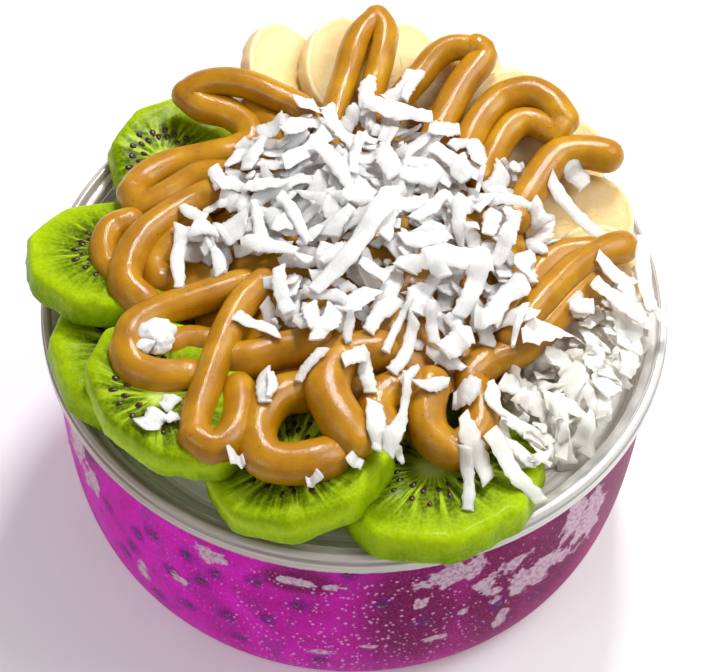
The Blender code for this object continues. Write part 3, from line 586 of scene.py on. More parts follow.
def kiwi_material():
    """Colours by distance from the pith: pale core, dark seed ring crossed by pale rays, bright outer
    flesh, and the peeled side beyond 1, painted darker the further down it goes as painted shade."""
    shader = Shader("kiwi", Roughness=0.42, Specular_IOR_Level=0.08, Coat_Weight=0.03,
                    Coat_Roughness=0.12, Subsurface_Weight=0.2, Subsurface_Scale=0.002,
                    Subsurface_Radius=(0.6, 1.0, 0.1), Specular_Tint=(0.85, 1.0, 0.35, 1.0))
    own, spot = shader.own, shader.stored("spot", "Vector")
    reach = spot.reach()
    outward = shader.vector(0, 0, reach * 0.16 + spot.part(2) * 3.7)
    rays = spot.heading().vector("ADD", outward).noise(8, 2, 0.55)
    uneven = reach + (own.noise(160) - 0.5) * 0.09 + (rays - 0.5) * 0.3
    # Painted shade: past 0.75 the ramp runs down the peeled side and paints it darker the lower it lies.
    shader.ramp(uneven * 0.75,
                (0.00, 206, 220, 128), (0.10, 186, 208, 84), (0.16, 132, 156, 20),
                (0.24, 92, 114, 6), (0.36, 94, 118, 0), (0.46, 116, 142, 0),
                (0.58, 138, 164, 0), (0.68, 156, 182, 4), (0.75, 172, 200, 14),
                (0.86, 140, 170, 0), (1.00, 112, 140, 0))
    seed_ring = reach.step(0.10, 0.22) * reach.step(0.85, 0.45)
    shader.paint((172, 196, 44), rays.step(0.53, 0.60) * seed_ring * 0.75)
    shader.paint((48, 64, 4), rays.step(0.52, 0.42) * seed_ring * 0.7)
    grain = own.cells(1100)
    shader.paint((196, 220, 60), grain.step(0.42, 0.75, 0.15))
    return shader.finish(rays * 0.6 + grain * 0.4, 0.5, 0.45)


def banana_material():
    """Colours by distance from the middle: a darker heart with pips, pale flesh and a pale edge."""
    shader = Shader("banana", Roughness=0.42, Specular_IOR_Level=0.4, Subsurface_Weight=0.6,
                    Subsurface_Scale=0.006, Subsurface_Radius=(1.0, 0.8, 0.4))
    own, spot = shader.own, shader.stored("spot", "Vector")
    reach, blotch = spot.reach(), own.noise(190, 3)
    shader.ramp((reach + (blotch - 0.5) * 0.16) * 0.75,
                (0.00, 220, 192, 128), (0.14, 230, 204, 142), (0.20, 236, 211, 154),
                (0.40, 240, 216, 162), (0.60, 238, 214, 158), (0.67, 228, 200, 144),
                (0.71, 245, 224, 172), (0.78, 232, 205, 154), (1.0, 210, 180, 136))
    shader.paint((222, 188, 124), own.noise(420, 3, 0.6).step(0.62, 0.74, 0.35))
    pips = spot.heading().vector("ADD", spot.scaled(0, 0, 2.3)).noise(5, 1).step(0.58, 0.64)
    heart = reach.step(0.12, 0.2) * reach.step(0.4, 0.3)
    shader.paint((178, 140, 84), pips * heart * 0.5)
    return shader.finish(blotch * 0.5 + own.noise(1300), 0.35, 0.3)


def nut_butter_material():
    """Oily and smooth, with fine lines that run along each rope."""
    shader = Shader("nut_butter", Roughness=0.42, Specular_IOR_Level=0.14, Coat_Weight=0.55,
                    Coat_Roughness=0.06, Subsurface_Weight=0.12, Subsurface_Scale=0.002,
                    Subsurface_Radius=(1.0, 0.5, 0.15))
    own = shader.own
    shader.ramp(own.noise(130, 3, 0.55), (0.3, 157, 103, 2), (0.5, 174, 119, 5), (0.7, 191, 138, 12))
    grit = own.cells(520).step(0.2, 0.1) * own.noise(300, 1).math("GREATER_THAN", 0.54)
    shader.paint((112, 64, 14), grit * 0.55)
    lines = shader.stored("flow", "Vector").scaled(0.35, 7.0, 7.0).noise(1.0, 3, 0.6)
    return shader.finish(lines * 0.3 + own.noise(1800, 3, 0.6) * 0.7, 0.4, 0.34,
                         ("Normal", "Coat Normal"))


def coconut_material(name, light, shade):
    shader = Shader(name, Roughness=0.5, Specular_IOR_Level=0.4, Subsurface_Weight=0.7,
                    Subsurface_Scale=0.004, Subsurface_Radius=(1.0, 0.95, 1.0))
    own = shader.own
    fibres = shader.stored("grain", "Vector").scaled(0.35, 3.2, 3.2).noise(1.0, 3, 0.65)
    tone = fibres * 0.25 + own.noise(220) * 0.55 + shader.stored("tone") * 0.25
    shader.ramp(tone, (0.35, *shade), (0.60, *light))
    return shader.finish(fibres * 0.4 + own.noise(800, 4, 0.65) * 0.6, 0.55, 0.6)


# ---- bowl

def wall_radius(depth):
    """Radius of the wall's outside at a depth below the rim."""
    share = depth / BOWL_HEIGHT
    turn_in = max(0.0, 1.0 - share ** CORNER_POWER) ** CORNER_FULLNESS
    return BASE_RADIUS + (WALL_RADIUS - BASE_RADIUS) * turn_in


def wall_outline(steps):
    """The wall's outside from the base up, as radius and height, close together in the corner."""
    depths = BOWL_HEIGHT - np.linspace(0, 1, steps + 1) ** 2.0 * (BOWL_HEIGHT - WALL_TOP_DEPTH)
    return np.array([(wall_radius(depth), BOWL_HEIGHT - depth) for depth in depths])


def moved_in(outline, distance):
    """An outline that runs outwards and up, moved to its left by a distance."""
    runs = np.gradient(outline, axis=0)
    runs /= np.linalg.norm(runs, axis=1)[:, None]
    return outline + np.stack([-runs[:, 1], runs[:, 0]], axis=1) * distance


def turned(profile, sides):
    """Rings of a profile of (radius, height) turned about Z."""
    turns = full_turn(sides)
    return [ring(radius * np.cos(turns), radius * np.sin(turns), height) for radius, height in profile]


def make_bowl(wall, rim):
    outside = wall_outline(WALL_STEPS)
    inside = moved_in(outside, WALL_THICKNESS)
    profile = [(radius, WALL_THICKNESS) for radius in BASE_RINGS] + list(inside)
    profile += [(radius, BOWL_HEIGHT + height) for radius, height in RIM]
    profile += list(outside[::-1]) + [(radius, 0.0) for radius in BASE_RINGS[::-1]]
    body = capped(turned(profile, BOWL_SIDES), (0, 0, WALL_THICKNESS), (0, 0, 0), inside_out=True)
    bowl = mesh_object("bowl_shell", *body, wall)
    bowl.data.materials.append(rim)
    for polygon in bowl.data.polygons:
        polygon.material_index = int(polygon.center.z > (BOWL_HEIGHT - RIM_DEPTH) * MM)
    crisp(bowl, RIM_ANGLE)
    return dressed(bowl, "clear_plastic", "bowl")


# ---- smoothie

def smoothie_level(bearing, reach):
    """Height of the smoothie above the rim, with a bank under the banana and a mound in the middle."""
    bank = smooth_step(BANK_FROM, BANK_FULL, bearing) * (1 - smooth_step(BANK_LAST, BANK_TO, bearing))
    mound = 1 - smooth_step(MOUND_TOP, MOUND_FOOT, reach)
    return LEVEL + np.maximum(BANK_HEIGHT * bank, MOUND_HEIGHT * mound)


def mark_share(bearings, heights, marks):
    """1 in the middle of a mark, falling to 0 at twice its size."""
    share = np.zeros(len(bearings))
    for bearing, height, width, tall in marks:
        across = np.radians(turn_from(bearing, bearings)) * WALL_RADIUS / width
        share = np.maximum(share, 1 - 0.5 * np.hypot(across, (heights - height) / tall))
    return np.clip(share, 0, 1)


def make_smoothie(material):
    at_wall = BOWL_HEIGHT + LEVEL_AT_WALL
    side = moved_in(wall_outline(SMOOTHIE_STEPS), WALL_THICKNESS - REACH_INTO_WALL)
    side = side[side[:, 1] < at_wall]
    profile = [(radius, SMOOTHIE_FLOOR) for radius in FLOOR_RINGS] + side.tolist()
    profile += [(reach, at_wall) for reach in (side[-1][0], *TOP_RINGS[::-1])]
    top = BOWL_HEIGHT + LEVEL + MOUND_HEIGHT
    points, faces = capped(turned(profile, SMOOTHIE_SIDES), (0, 0, SMOOTHIE_FLOOR), (0, 0, top))
    reach = np.hypot(points[:, 0], points[:, 1])
    bearing = np.degrees(np.arctan2(points[:, 1], points[:, 0])) % 360
    on_top = points[:, 2] >= at_wall - 0.01
    edge = smooth_step(EDGE_FROM, EDGE_TO, reach)
    level = (BOWL_HEIGHT + smoothie_level(bearing, reach)) * (1 - edge) + at_wall * edge
    points[on_top, 2] = (level + TOP_RELIEF * (1 - edge) * waves(points, TOP_WAVES))[on_top]
    smoothie = mesh_object("smoothie_fill", points, faces, material)
    height = points[:, 2]
    specks = [most * np.exp(-((turn_from(middle, bearing) / spread) ** 2)) * (height < limit)
              for middle, spread, most, limit in SPECKS]
    keep_values(smoothie,
                frost=np.where(on_top, 0, mark_share(bearing, height, FROST_MARKS)),
                wine=mark_share(bearing, height, WINE_MARKS),
                halo=mark_share(bearing, height, [(*mark, *HALO) for mark in SEED_MARKS]),
                foam=smooth_step(REFLECTION_FROM, REFLECTION_TO, reach) * on_top,
                specks=np.clip(np.max(specks, axis=0), 0.1, 1))
    return dressed(smoothie, "smoothie", "smoothie")


def make_pitaya_seeds(material):
    draw = random.Random(3)
    bodies = []
    for bearing, height in SEED_MARKS:
        for _ in range(draw.choice((1, 1, 2))):
            tall = height + draw.uniform(-0.8, 0.8)
            turn = math.radians(bearing + draw.uniform(-0.7, 0.7))
            radius = wall_radius(BOWL_HEIGHT - tall) - WALL_THICKNESS + REACH_INTO_WALL - 0.1
            spot = Matrix.Translation((radius * math.cos(turn), radius * math.sin(turn), tall))
            spin = Matrix.Rotation(turn, 4, "Z") @ Matrix.Rotation(draw.uniform(0, math.pi), 4, "X")
            points, faces = lump((0.28, draw.uniform(0.45, 0.7), draw.uniform(0.8, 1.1)))
            bodies.append((moved(points, spot @ spin), faces))
    return dressed(mesh_object("pitaya_seeds", *joined(bodies), material), "smoothie")


# ---- fruit slices

def slice_frame(bearing, reach, height, outward_tilt, side_tilt):
    """Where a slice lies: the middle of its underside, with local X pointing outwards."""
    turn = Matrix.Rotation(math.radians(bearing), 4, "Z")
    up_outwards = Matrix.Rotation(-math.radians(outward_tilt), 4, "Y")
    up_sideways = Matrix.Rotation(math.radians(side_tilt), 4, "X")
    return Matrix.Translation(place(bearing, reach, height)) @ turn @ up_outwards @ up_sideways


def slice_rings(fruit, radius):
    """Share of the outline's radius, drop inwards in millimetres and height, from the middle of
    the top out, over the edge and down to the middle of the underside."""
    thickness, top_edge, low_edge = fruit.thickness, fruit.top_edge, fruit.low_edge
    rings = [(share * (radius - top_edge) / radius, 0.0, thickness)
             for share in np.linspace(0.04, 1.0, 22) ** 0.9]
    for turn in np.linspace(0.2, 1.0, 6) * math.pi / 2:
        rings.append((1.0, top_edge * (1 - math.sin(turn)), thickness - top_edge * (1 - math.cos(turn))))
    rings += [(1.0, 0.0, height) for height in np.linspace(thickness - top_edge, low_edge, 7)[1:]]
    for turn in np.linspace(0.33, 1.0, 3) * math.pi / 2:
        rings.append((1.0, low_edge * (1 - math.cos(turn)), low_edge * (1 - math.sin(turn))))
    return rings + [(share, 0.0, 0.0) for share in (0.7, 0.35, 0.08)]


def slice_outline(fruit, draw, turns):
    """The slice's uneven, lobed outline, as shares of its radius."""
    phases = [draw.uniform(0, 2 * math.pi) for _ in range(3)]
    uneven = 1 + 0.018 * np.sin(2 * turns + phases[0]) + 0.014 * np.sin(3 * turns + phases[1])
    lobe = np.sqrt(np.sin(fruit.lobes * turns / 2 + phases[2]) ** 2 + 0.02)
    return uneven * (1 - fruit.lobe_depth * lobe)


def make_slice(fruit, number, row, material):
    spot, radius, stretch, *pith = row
    thickness, seed, wide = fruit.thickness, fruit.seed + number, math.sqrt(stretch)
    turns = full_turn(SLICE_SIDES)
    outline = slice_outline(fruit, random.Random(seed), turns)
    rings = []
    for share, drop, level in slice_rings(fruit, radius):
        size = (outline * radius * (1 - fruit.taper * level / thickness) - drop) * share
        rings.append(ring(size * np.cos(turns) / wide, size * np.sin(turns) * wide, level))
    points, faces = capped(rings, (0, 0, thickness), (0, 0, 0), inside_out=True)
    # Where each point is on the round slice, going on past the edge down the side
    flat = points[:, :2] * (wide, 1 / wide) / radius
    share = np.hypot(flat[:, 0], flat[:, 1])
    beyond = (thickness - points[:, 2]) / radius * (share > 0.8)
    scale = 1 + beyond / np.maximum(share, 0.01)
    flat = flat * scale[:, None] - (pith or (0, 0))
    kept = np.column_stack([flat, np.full(len(points), seed)])
    # Small and broad unevenness, up from the top and out from the side
    rough, broad = waves(points, ROUGH_SIZE, seed, 3), waves(points, BROAD_SIZE, seed + 5, 2)
    on_top = smooth_step(thickness * 0.7, thickness, points[:, 2])
    outwards = points * (1, 1, 0) / np.maximum(np.hypot(points[:, 0], points[:, 1]), 0.1)[:, None]
    side_relief = SIDE_ROUGH * rough + SIDE_BROAD * broad
    points = points + outwards * ((1 - on_top) * side_relief)[:, None]
    points[:, 2] += on_top * (fruit.relief * rough + 1.6 * fruit.relief * broad)
    points = moved(points, slice_frame(*spot))
    thing = mesh_object(f"{fruit.name}_slice_{number}", points, faces, material)
    keep_values(thing, spot=kept)
    return dressed(thing, fruit.name, f"{fruit.name}_{number}")


def make_slices(fruit, material):
    return [make_slice(fruit, number, row, material) for number, row in enumerate(fruit.slices, 1)]


def make_kiwi_seeds(material):
    """Two uneven rings of seeds in each slice, their points towards the pith."""
    draw = random.Random(8)
    bodies = []
    for slice_place, radius, stretch, *pith in KIWI.slices:
        on_slice = slice_frame(*slice_place)
        pith_x, pith_y = pith or (0, 0)
        for index in range(SEEDS_IN_KIWI):
            turn = 2 * math.pi * (index + draw.uniform(-0.35, 0.35)) / SEEDS_IN_KIWI
            share = SEED_RINGS[index % 2] + draw.uniform(-0.05, 0.05)
            x = radius * (pith_x + share * math.cos(turn)) / math.sqrt(stretch)
            y = radius * (pith_y + share * math.sin(turn)) * math.sqrt(stretch)
            heading = math.atan2(math.sin(turn) * stretch, math.cos(turn))
            points, faces = lump((draw.uniform(0.95, 1.3), draw.uniform(0.55, 0.75), 0.45))
            points[:, 1] *= 1 + 0.35 * points[:, 0]
            spot = Matrix.Translation((x, y, KIWI.thickness - 0.08))
            spin = Matrix.Rotation(heading, 4, "Z") @ Matrix.Rotation(draw.uniform(-0.3, 0.3), 4, "Y")
            bodies.append((moved(points, on_slice @ spot @ spin), faces))
    return dressed(mesh_object("kiwi_seeds", *joined(bodies), material), "kiwi")


# ---- nut butter

def smooth_route(points, step):
    """Points about a step apart on a smooth curve through the given points."""
    ends = [points[0] * 2 - points[1]] + points + [points[-1] * 2 - points[-2]]
    route = []
    for before, start, end, after in zip(ends, ends[1:], ends[2:], ends[3:]):
        pieces = max(1, round((end - start).length / step))
        for piece in range(pieces):
            t = piece / pieces
            route.append(0.5 * (2 * start + (end - before) * t
                                + (2 * before - 5 * start + 4 * end - after) * t * t
                                + (3 * start - before - 3 * end + after) * t ** 3))
    return route + [points[-1]]


def rope_body(number, radius, legs):
    """A leg of rope with rounded ends: its points and faces, and for each point its distance along
    the rope and its side."""
    route = smooth_route([place(*leg) for leg in legs], ROPE_STEP)
    first, last = (route[0] - route[1]).normalized(), (route[-1] - route[-2]).normalized()
    stations = [(route[0] + first * radius * out, share) for out, share in ROPE_END]
    stations += [(point, 1.0) for point in route]
    stations += [(route[-1] + last * radius * out, share) for out, share in ROPE_END[::-1]]
    centres = [centre for centre, _ in stations]
    turns = full_turn(ROPE_SIDES)
    across = Vector((0, 0, 1)).cross((centres[1] - centres[0]).normalized())
    rings, flows, along = [], [], 0.0
    for index, (centre, share) in enumerate(stations):
        before, after = centres[max(index - 1, 0)], centres[min(index + 1, len(centres) - 1)]
        ahead = (after - before).normalized()
        across = (across - ahead * across.dot(ahead)).normalized()
        along += (centre - before).length
        swell = noise.noise(Vector((along / ROPE_SWELL_LENGTH, number * 3.1, 0)))
        size = radius * share * (1 + ROPE_SWELL * swell)
        for depth, count, shift, length in ROPE_RIDGES:
            size = size + share * depth * np.sin(count * turns + shift * number + along / length)
        rings.append(np.outer(size * np.cos(turns), across)
                     + np.outer(size * np.sin(turns), ahead.cross(across)) + np.array(centre))
        flows.append(ring(along + 50 * number, radius * np.cos(turns) / 4, radius * np.sin(turns) / 4))
    tip, tail = (end + out * radius * 0.04 for end, out in ((centres[0], first), (centres[-1], last)))
    points, faces = capped(rings, tip, tail)
    return points, faces, np.concatenate(flows + [flows[0][:1], flows[-1][:1]])


def pool_body():
    """The low dome of nut butter in the middle."""
    turns, rings = full_turn(POOL_SIDES), []
    for tilt in np.linspace(math.pi, 0, POOL_RINGS)[1:-1]:
        share = math.sin(tilt)
        if tilt > math.pi / 2:
            height = POOL_EDGE + (POOL_EDGE - POOL_BOTTOM) * math.cos(tilt)
        else:
            height = POOL_EDGE + (POOL_TOP - POOL_EDGE) * (1 - share * share)
        x = POOL_CENTRE[0] + POOL_RADII[0] * share * np.cos(turns)
        y = POOL_CENTRE[1] + POOL_RADII[1] * share * np.sin(turns)
        rings.append(ring(x, y, BOWL_HEIGHT + height))
    points, faces = capped(rings, (*POOL_CENTRE, BOWL_HEIGHT + POOL_BOTTOM),
                           (*POOL_CENTRE, BOWL_HEIGHT + POOL_TOP))
    points[:, 2] += POOL_RELIEF * waves(points, POOL_WAVES, 2.0)
    return points, faces, points / (1, 4, 4)


def make_nut_butter(material):
    """The pool and all the ropes, joined into one body."""
    parts = []
    for *body, flow in [pool_body()] + [rope_body(number, *rope) for number, rope in enumerate(ROPES)]:
        parts.append(mesh_object("rope", *body, material))
        keep_values(parts[-1], flow=flow)
    butter, *ropes = parts
    butter.name = "nut_butter_ropes"
    group = bpy.data.collections.new("ropes")
    bpy.context.scene.collection.children.link(group)
    for rope in ropes:
        group.objects.link(rope)
    union = butter.modifiers.new("Join", "BOOLEAN")
    union.operation = "UNION"
    union.operand_type = "COLLECTION"
    union.collection = group
    union.solver = "MANIFOLD"
    depsgraph = bpy.context.evaluated_depsgraph_get()
    mesh = bpy.data.meshes.new_from_object(butter.evaluated_get(depsgraph))
    butter.modifiers.clear()
    butter.data = mesh
    mesh.shade_smooth()
    crisp(butter, ROPE_ANGLE)
    for rope in ropes:
        bpy.data.objects.remove(rope)
    bpy.data.collections.remove(group)
    return dressed(butter, "nut_butter", "nut_butter")


# ---- coconut

class Terrain:
    """How high things lie at each spot, on a square grid, kept up to date as shreds are laid."""
    HALF, CELL = 84.0, 0.5

    def __init__(self, things):
        points, faces = [], []
        for thing in things:
            start = len(points)
            points += [thing.matrix_world @ vertex.co for vertex in thing.data.vertices]
            faces += [[start + index for index in polygon.vertices] for polygon in thing.data.polygons]
        tree = BVHTree.FromPolygons(points, faces)
        count = int(2 * self.HALF / self.CELL) + 1
        self.height = np.full((count, count), -50.0)
        top, down = 2 * BOWL_HEIGHT * MM, Vector((0, 0, -1))
        for row, column in np.ndindex(count, count):
            x, y = row * self.CELL - self.HALF, column * self.CELL - self.HALF
            hit = tree.ray_cast(Vector((x * MM, y * MM, top)), down)[0]
            if hit:
                self.height[row, column] = hit.z / MM

    def cells(self, *coordinates):
        """The grid's rows and columns at places given by x and y."""
        last = len(self.height) - 1
        return tuple(np.clip(np.round((np.asarray(values) + self.HALF) / self.CELL), 0, last).astype(int)
                     for values in coordinates)

    def at(self, x, y):
        return self.height[self.cells(x, y)]

    def raise_to(self, x, y, heights):
        np.maximum.at(self.height, self.cells(x, y), heights)


def resting_line(steps, heights):
    """Height in the middle and slope of a stick that rests on the given heights, at the given
    steps along it from its middle."""
    best = (-math.inf, 0.0)
    for low in np.flatnonzero(steps <= 0):
        for high in np.flatnonzero(steps > 0):
            slope = (heights[high] - heights[low]) / (steps[high] - steps[low])
            middle = heights[low] - slope * steps[low]
            if middle > best[0]:
                best = (middle, slope)
    return best


def finer(values):
    """Values along a shred at four times as many places."""
    stations = np.arange(STATIONS)
    return np.interp(np.linspace(0, STATIONS - 1, STATIONS * 4), stations, values)


def shred_outline(draw, length, width):
    """Half widths, sideways shifts and slants of the cuts along a shred, and how ragged it is."""
    along = np.linspace(-1, 1, STATIONS)
    half = 0.58 * width * (1 + 0.12 * np.sin(along * draw.uniform(1, 3) + draw.uniform(0, 6)))
    for end in (-1, 1):
        narrow = draw.choice((0.0, 0.1, 0.2, 0.45))
        half *= 1 - narrow * smooth_step(0.3, 1.0, along * end)
    ragged = min(1.0, length / 11.0)
    half *= 1 + ragged * np.array([draw.uniform(-0.16, 0.1) for _ in along])
    shift = 0.12 * width * np.sin(along * draw.uniform(1, 4) + draw.uniform(0, 6))
    most = min(0.8, 0.3 * length / width)
    slant = sum(draw.uniform(-most, most) * smooth_step(0.0, 1.0, end * along) for end in (-1, 1))
    return along, half, shift, slant, ragged


def laid_shred(terrain, draw, middle, heading, length, width, thickness, steepest=STEEPEST,
               ceiling=None):
    """A shred of coconut dropped on the terrain: its points, faces, grain and tone. It is nothing
    outside the bowl, and a strewn one, which has a ceiling, is nothing where it would rest above
    the ceiling or too steep."""
    along, half, shift, slant, ragged = shred_outline(draw, length, width)
    bow, most_roll = (0.05, 0.2) if ceiling is None else (0.1, 0.45)
    steps = along * length / 2
    ahead = np.array([math.cos(heading), math.sin(heading)])
    side = np.array([-math.sin(heading), math.cos(heading)])
    arc = shift + draw.uniform(-bow, bow) * length * (1 - along ** 2)
    centre = np.array(middle)[:, None] + np.outer(ahead, steps) + np.outer(side, arc)
    lines = [terrain.at(*(centre + np.outer(side, edge * half))) for edge in (-1, -0.5, 0, 0.5, 1)]
    heights = np.max(lines, axis=0)
    rest, slope = resting_line(steps, heights)
    if rest < BOWL_HEIGHT + LOWEST:
        return None
    if ceiling is not None and (abs(slope) > steepest or rest > BOWL_HEIGHT + ceiling
                                or np.hypot(*centre).max() > REACH_OF_STREWN):
        return None
    line = rest + max(-steepest, min(steepest, slope)) * steps
    sag = np.minimum(0, heights - line)
    for _ in range(3):
        sag = np.convolve(np.pad(sag, 1, mode="edge"), (0.25, 0.5, 0.25), mode="valid")
    spine = line + LIMPNESS * np.maximum(sag, -MOST_SAG) + 0.1
    roll = np.clip(np.median(lines[-1] - lines[0]) / width, -most_roll, most_roll)
    twist = draw.uniform(-0.2, 0.2)
    curl = 0.5 * draw.uniform(-0.1, 0.2) * width
    rings, grains = [], []
    for index in range(STATIONS):
        uneven = np.array([draw.uniform(-0.1, 0.08) for _ in SECTION_ACROSS])
        across = SECTION_ACROSS * half[index] * (1 + ragged * uneven)
        up = SECTION_UP * (thickness * (1 + ragged * draw.uniform(-0.2, 0.15)))
        flat = centre[:, [index]] + np.outer(side, across) + np.outer(ahead, slant[index] * across)
        lift = curl * SECTION_ACROSS ** 2 + up + (roll + twist * along[index]) * across
        rings.append(ring(*flat, spine[index] + lift))
        grains.append(ring(steps[index] + 7 * middle[0], across + 3 * middle[1], up))
    points, faces = capped(rings, rings[0].mean(axis=0), rings[-1].mean(axis=0))
    for edge in np.linspace(-0.95, 0.95, 9):
        reach = finer(edge * half)
        lean = roll + twist * finer(along)
        top = finer(spine) + thickness + lean * reach + curl * edge * edge
        terrain.raise_to(*(finer(part) + reach * share for part, share in zip(centre, side)), top)
    grain = np.concatenate(grains + [grains[0][:1], grains[-1][:1]])
    return points, faces, grain, np.full(len(points), draw.random())


def strewn(terrain, draw, zone, ceiling, steepest):
    """Shreds dropped evenly over a zone, at most up to a ceiling that depends on the place."""
    count, middle, radii, ratios, widths = zone
    shreds = []
    for _ in range(count):
        angle, share = draw.uniform(0, 2 * math.pi), math.sqrt(draw.random())
        spot = (middle[0] + radii[0] * share * math.cos(angle),
                middle[1] + radii[1] * share * math.sin(angle))
        width, heading = draw.uniform(*widths), draw.uniform(0, math.pi)
        length, thickness = width * draw.uniform(*ratios), draw.uniform(0.5, 1.0)
        shreds.append(laid_shred(terrain, draw, spot, heading, length, width, thickness, steepest,
                                 ceiling(*spot)))
    return shreds


def from_ends(terrain, draw, laid):
    """Shreds laid one by one from their listed ends."""
    shreds = []
    for start_x, start_y, end_x, end_y, width in laid:
        run, rise = end_x - start_x, end_y - start_y
        middle, heading = ((start_x + end_x) / 2, (start_y + end_y) / 2), math.atan2(rise, run)
        length, thickness = max(math.hypot(run, rise), width), 0.9 if width < BROAD else 1.5
        shreds.append(laid_shred(terrain, draw, middle, heading, length, width, thickness))
    return shreds


def pressed(shreds, bed, top):
    """Presses shreds down to a height above the rim, or onto the bed where that is higher."""
    for points, *_ in shreds:
        highest = max(BOWL_HEIGHT + top, bed.at(points[:, 0], points[:, 1]).max() + 1)
        points[:, 2] -= max(0, points[:, 2].mean() - highest)
    return shreds


def chunks(terrain, draw, laid):
    """Broken lumps with flat faces that lie on the terrain."""
    bodies = []
    for x, y, along, across, height, turn in laid:
        points, faces = lump((1.0, 1.0, 1.0), 32, 48)
        for _ in range(CHUNK_CUTS):
            face = np.array([draw.gauss(0, 1) for _ in range(3)])
            reach = points @ (face / np.linalg.norm(face))
            points *= np.minimum(1, draw.uniform(*CUT_REACHES) / np.maximum(reach, 0.01))[:, None]
        points *= (CHUNK_GROWTH * along, CHUNK_GROWTH * across, CHUNK_GROWTH * height)
        points *= 1 + CHUNK_RELIEF * waves(points, CHUNK_WAVES, x, 4)[:, None]
        spot = Matrix.Translation((x, y, terrain.at(x, y) + 0.5 * height))
        points = moved(points, spot @ Matrix.Rotation(math.radians(turn), 4, "Z"))
        terrain.raise_to(*points.T)
        bodies.append((points, faces, points, np.full(len(points), 0.6)))
    return bodies


def heap_outline(share, turns):
    (x, y), (x_half, y_half) = HEAP_CORE.middle, HEAP_CORE.half
    return x + x_half * share * np.cos(turns), y + y_half * share * np.sin(turns)


def pile_outline(share, turns):
    (bearing, reach), (turn_half, reach_half) = PILE_CORE.middle, PILE_CORE.half
    at = np.radians(bearing + turn_half * share * np.cos(turns))
    out = reach + reach_half * share * np.sin(turns)
    return out * np.cos(at), out * np.sin(at)


def core_body(core, outline, inside_out):
    """A packed core, lumpy with the shreds in it: its points, faces, grain and tone."""
    rings = []
    for share in np.linspace(0.03, 1.0, core.rings):
        height = core.foot + (core.top - core.foot) * (1 - share ** core.power)
        rings.append(ring(*outline(share, full_turn(CORE_SIDES)), BOWL_HEIGHT + height))
    middle = outline(0.0, 0.0)
    points, faces = capped(rings, (*middle, BOWL_HEIGHT + core.top),
                           (*middle, BOWL_HEIGHT + core.floor), inside_out)
    height, size, seed = core.lumps
    points[:, 2] += height * waves(points, size, seed, 3)
    # Painted shade: the core takes a low tone, towards the coconut's shade colour, as it shows only in
    # the gaps between shreds.
    return points, faces, points, np.full(len(points), 0.2)


def heap_ceiling(x, y):
    """How high above the rim the middle of a strewn shred may rest."""
    share = math.hypot((x - HEAP_MIDDLE[0]) / HEAP_REACH, (y - HEAP_MIDDLE[1]) / HEAP_REACH)
    return HEAP_EDGE_TOP + HEAP_RISE * max(0.0, 1 - share ** 1.6)


def pile_ceiling(_x, _y):
    return PILE_TOP


def coconut_object(name, bodies, material, node):
    """The bodies as one piece, which stands for a node."""
    bodies = [body for body in bodies if body]
    thing = mesh_object(name, *joined(bodies), material)
    keep_values(thing, grain=np.concatenate([body[2] for body in bodies]),
                tone=np.concatenate([body[3] for body in bodies]))
    crisp(thing, COCONUT_ANGLE)
    return dressed(thing, "coconut", node)


def make_pile(terrain, core, material):
    draw = random.Random(21)
    bed = copy.deepcopy(terrain)
    bodies = [core]
    for zone in PILE_ZONES:
        bodies += strewn(terrain, draw, zone, pile_ceiling, STEEPEST_IN_PILE)
    bodies += pressed(from_ends(terrain, draw, PILE_LAID), bed, PILE_LAID_TOP)
    return coconut_object("coconut_side", bodies, material, "coconut_pile")


def make_heap(terrain, core, material):
    draw = random.Random(12)
    bodies = [core]
    for zone in HEAP_ZONES:
        bodies += strewn(terrain, draw, zone, heap_ceiling, STEEPEST)
    bodies += from_ends(terrain, draw, HEAP_LAID)
    bodies += chunks(terrain, draw, CHUNKS)
    return coconut_object("coconut_shreds", bodies, material, "coconut_heap")


# ---- studio and camera

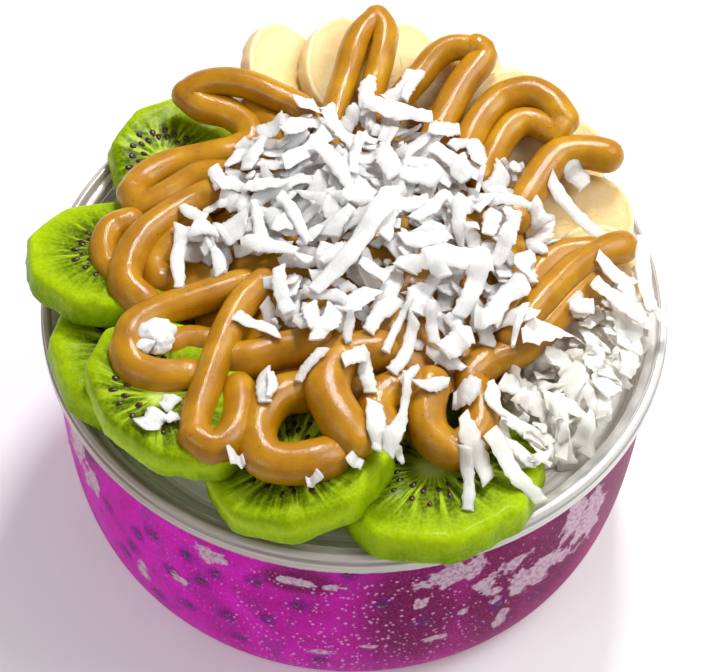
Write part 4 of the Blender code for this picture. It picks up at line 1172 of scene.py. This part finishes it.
def make_studio():
    scene = bpy.context.scene
    scene.view_settings.view_transform = "Standard"
    scene.world = bpy.data.worlds.new("studio")
    scene.world.use_nodes = True
    background = scene.world.node_tree.nodes["Background"]
    background.inputs["Color"].default_value = (1.0, 1.0, 1.0, 1.0)
    background.inputs["Strength"].default_value = SKY
    for name, (spot, size, power) in LIGHTS.items():
        light = bpy.data.lights.new(name, "AREA")
        light.energy = power
        light.size = size
        lamp = bpy.data.objects.new(name, light)
        lamp.location = spot
        lamp.rotation_euler = (Vector(LIGHT_AIM) - Vector(spot)).to_track_quat("-Z", "Y").to_euler()
        scene.collection.objects.link(lamp)
    shader = Shader("floor", Base_Color=srgb((240, 240, 240)), Roughness=0.8,
                    Emission_Color=(1, 1, 1, 1), Emission_Strength=0.16)
    corners = [(x * STUDIO_HALF, y * STUDIO_HALF, 0) for x, y in ((-1, -1), (1, -1), (1, 1), (-1, 1))]
    mesh_object("floor", corners, [(0, 1, 2, 3)], shader.finish())


def make_camera():
    """The camera looks at the middle of the rim from the front, with a slight aim and roll."""
    back = Vector((0, -math.cos(CAMERA_PITCH), math.sin(CAMERA_PITCH)))
    right = Vector((1, 0, 0))
    upward = back.cross(right)
    ahead = (CAMERA_AIM[0] * right + CAMERA_AIM[1] * upward - back).normalized()
    right = ahead.cross(upward).normalized()
    axes = Matrix((right, right.cross(ahead), -ahead)).transposed().to_4x4()
    spot = back * CAMERA_DISTANCE * MM + Vector((0, 0, BOWL_HEIGHT * MM))
    data = bpy.data.cameras.new("camera")
    data.sensor_width = 36.0
    data.lens = CAMERA_FOCAL * data.sensor_width / PHOTO_WIDTH
    data.clip_start = 0.01
    camera = bpy.data.objects.new("camera", data)
    camera.matrix_world = Matrix.Translation(spot) @ axes @ Matrix.Rotation(CAMERA_ROLL, 4, "Z")
    bpy.context.scene.collection.objects.link(camera)
    bpy.context.scene.camera = camera


# ---- the scene

def main():
    make_camera()
    make_studio()
    bowl = make_bowl(wall_material(), rim_material())
    smoothie = make_smoothie(smoothie_material())
    make_pitaya_seeds(seed_material("pitaya_seed", (40, 14, 40)))
    kiwi = make_slices(KIWI, kiwi_material())
    make_kiwi_seeds(seed_material("kiwi_seed", (62, 30, 24)))
    banana = make_slices(BANANA, banana_material())
    butter = make_nut_butter(nut_butter_material())
    white = coconut_material("coconut", (239, 237, 236), (218, 214, 213))
    # Painted light: the pile's moist coconut is painted brighter and warmer than the heap's, the pile
    # lying in brighter light.
    moist_and_lit = coconut_material("coconut_moist_and_lit", (254, 249, 241), (245, 237, 226))
    cores = [core_body(HEAP_CORE, heap_outline, True), core_body(PILE_CORE, pile_outline, False)]
    guides = [mesh_object("guide", *core[:2], white) for core in cores]
    terrain = Terrain([bowl, smoothie, butter] + kiwi + banana + guides)
    for guide in guides:
        bpy.data.objects.remove(guide)
    make_pile(terrain, cores[1], moist_and_lit)
    make_heap(terrain, cores[0], white)


main()
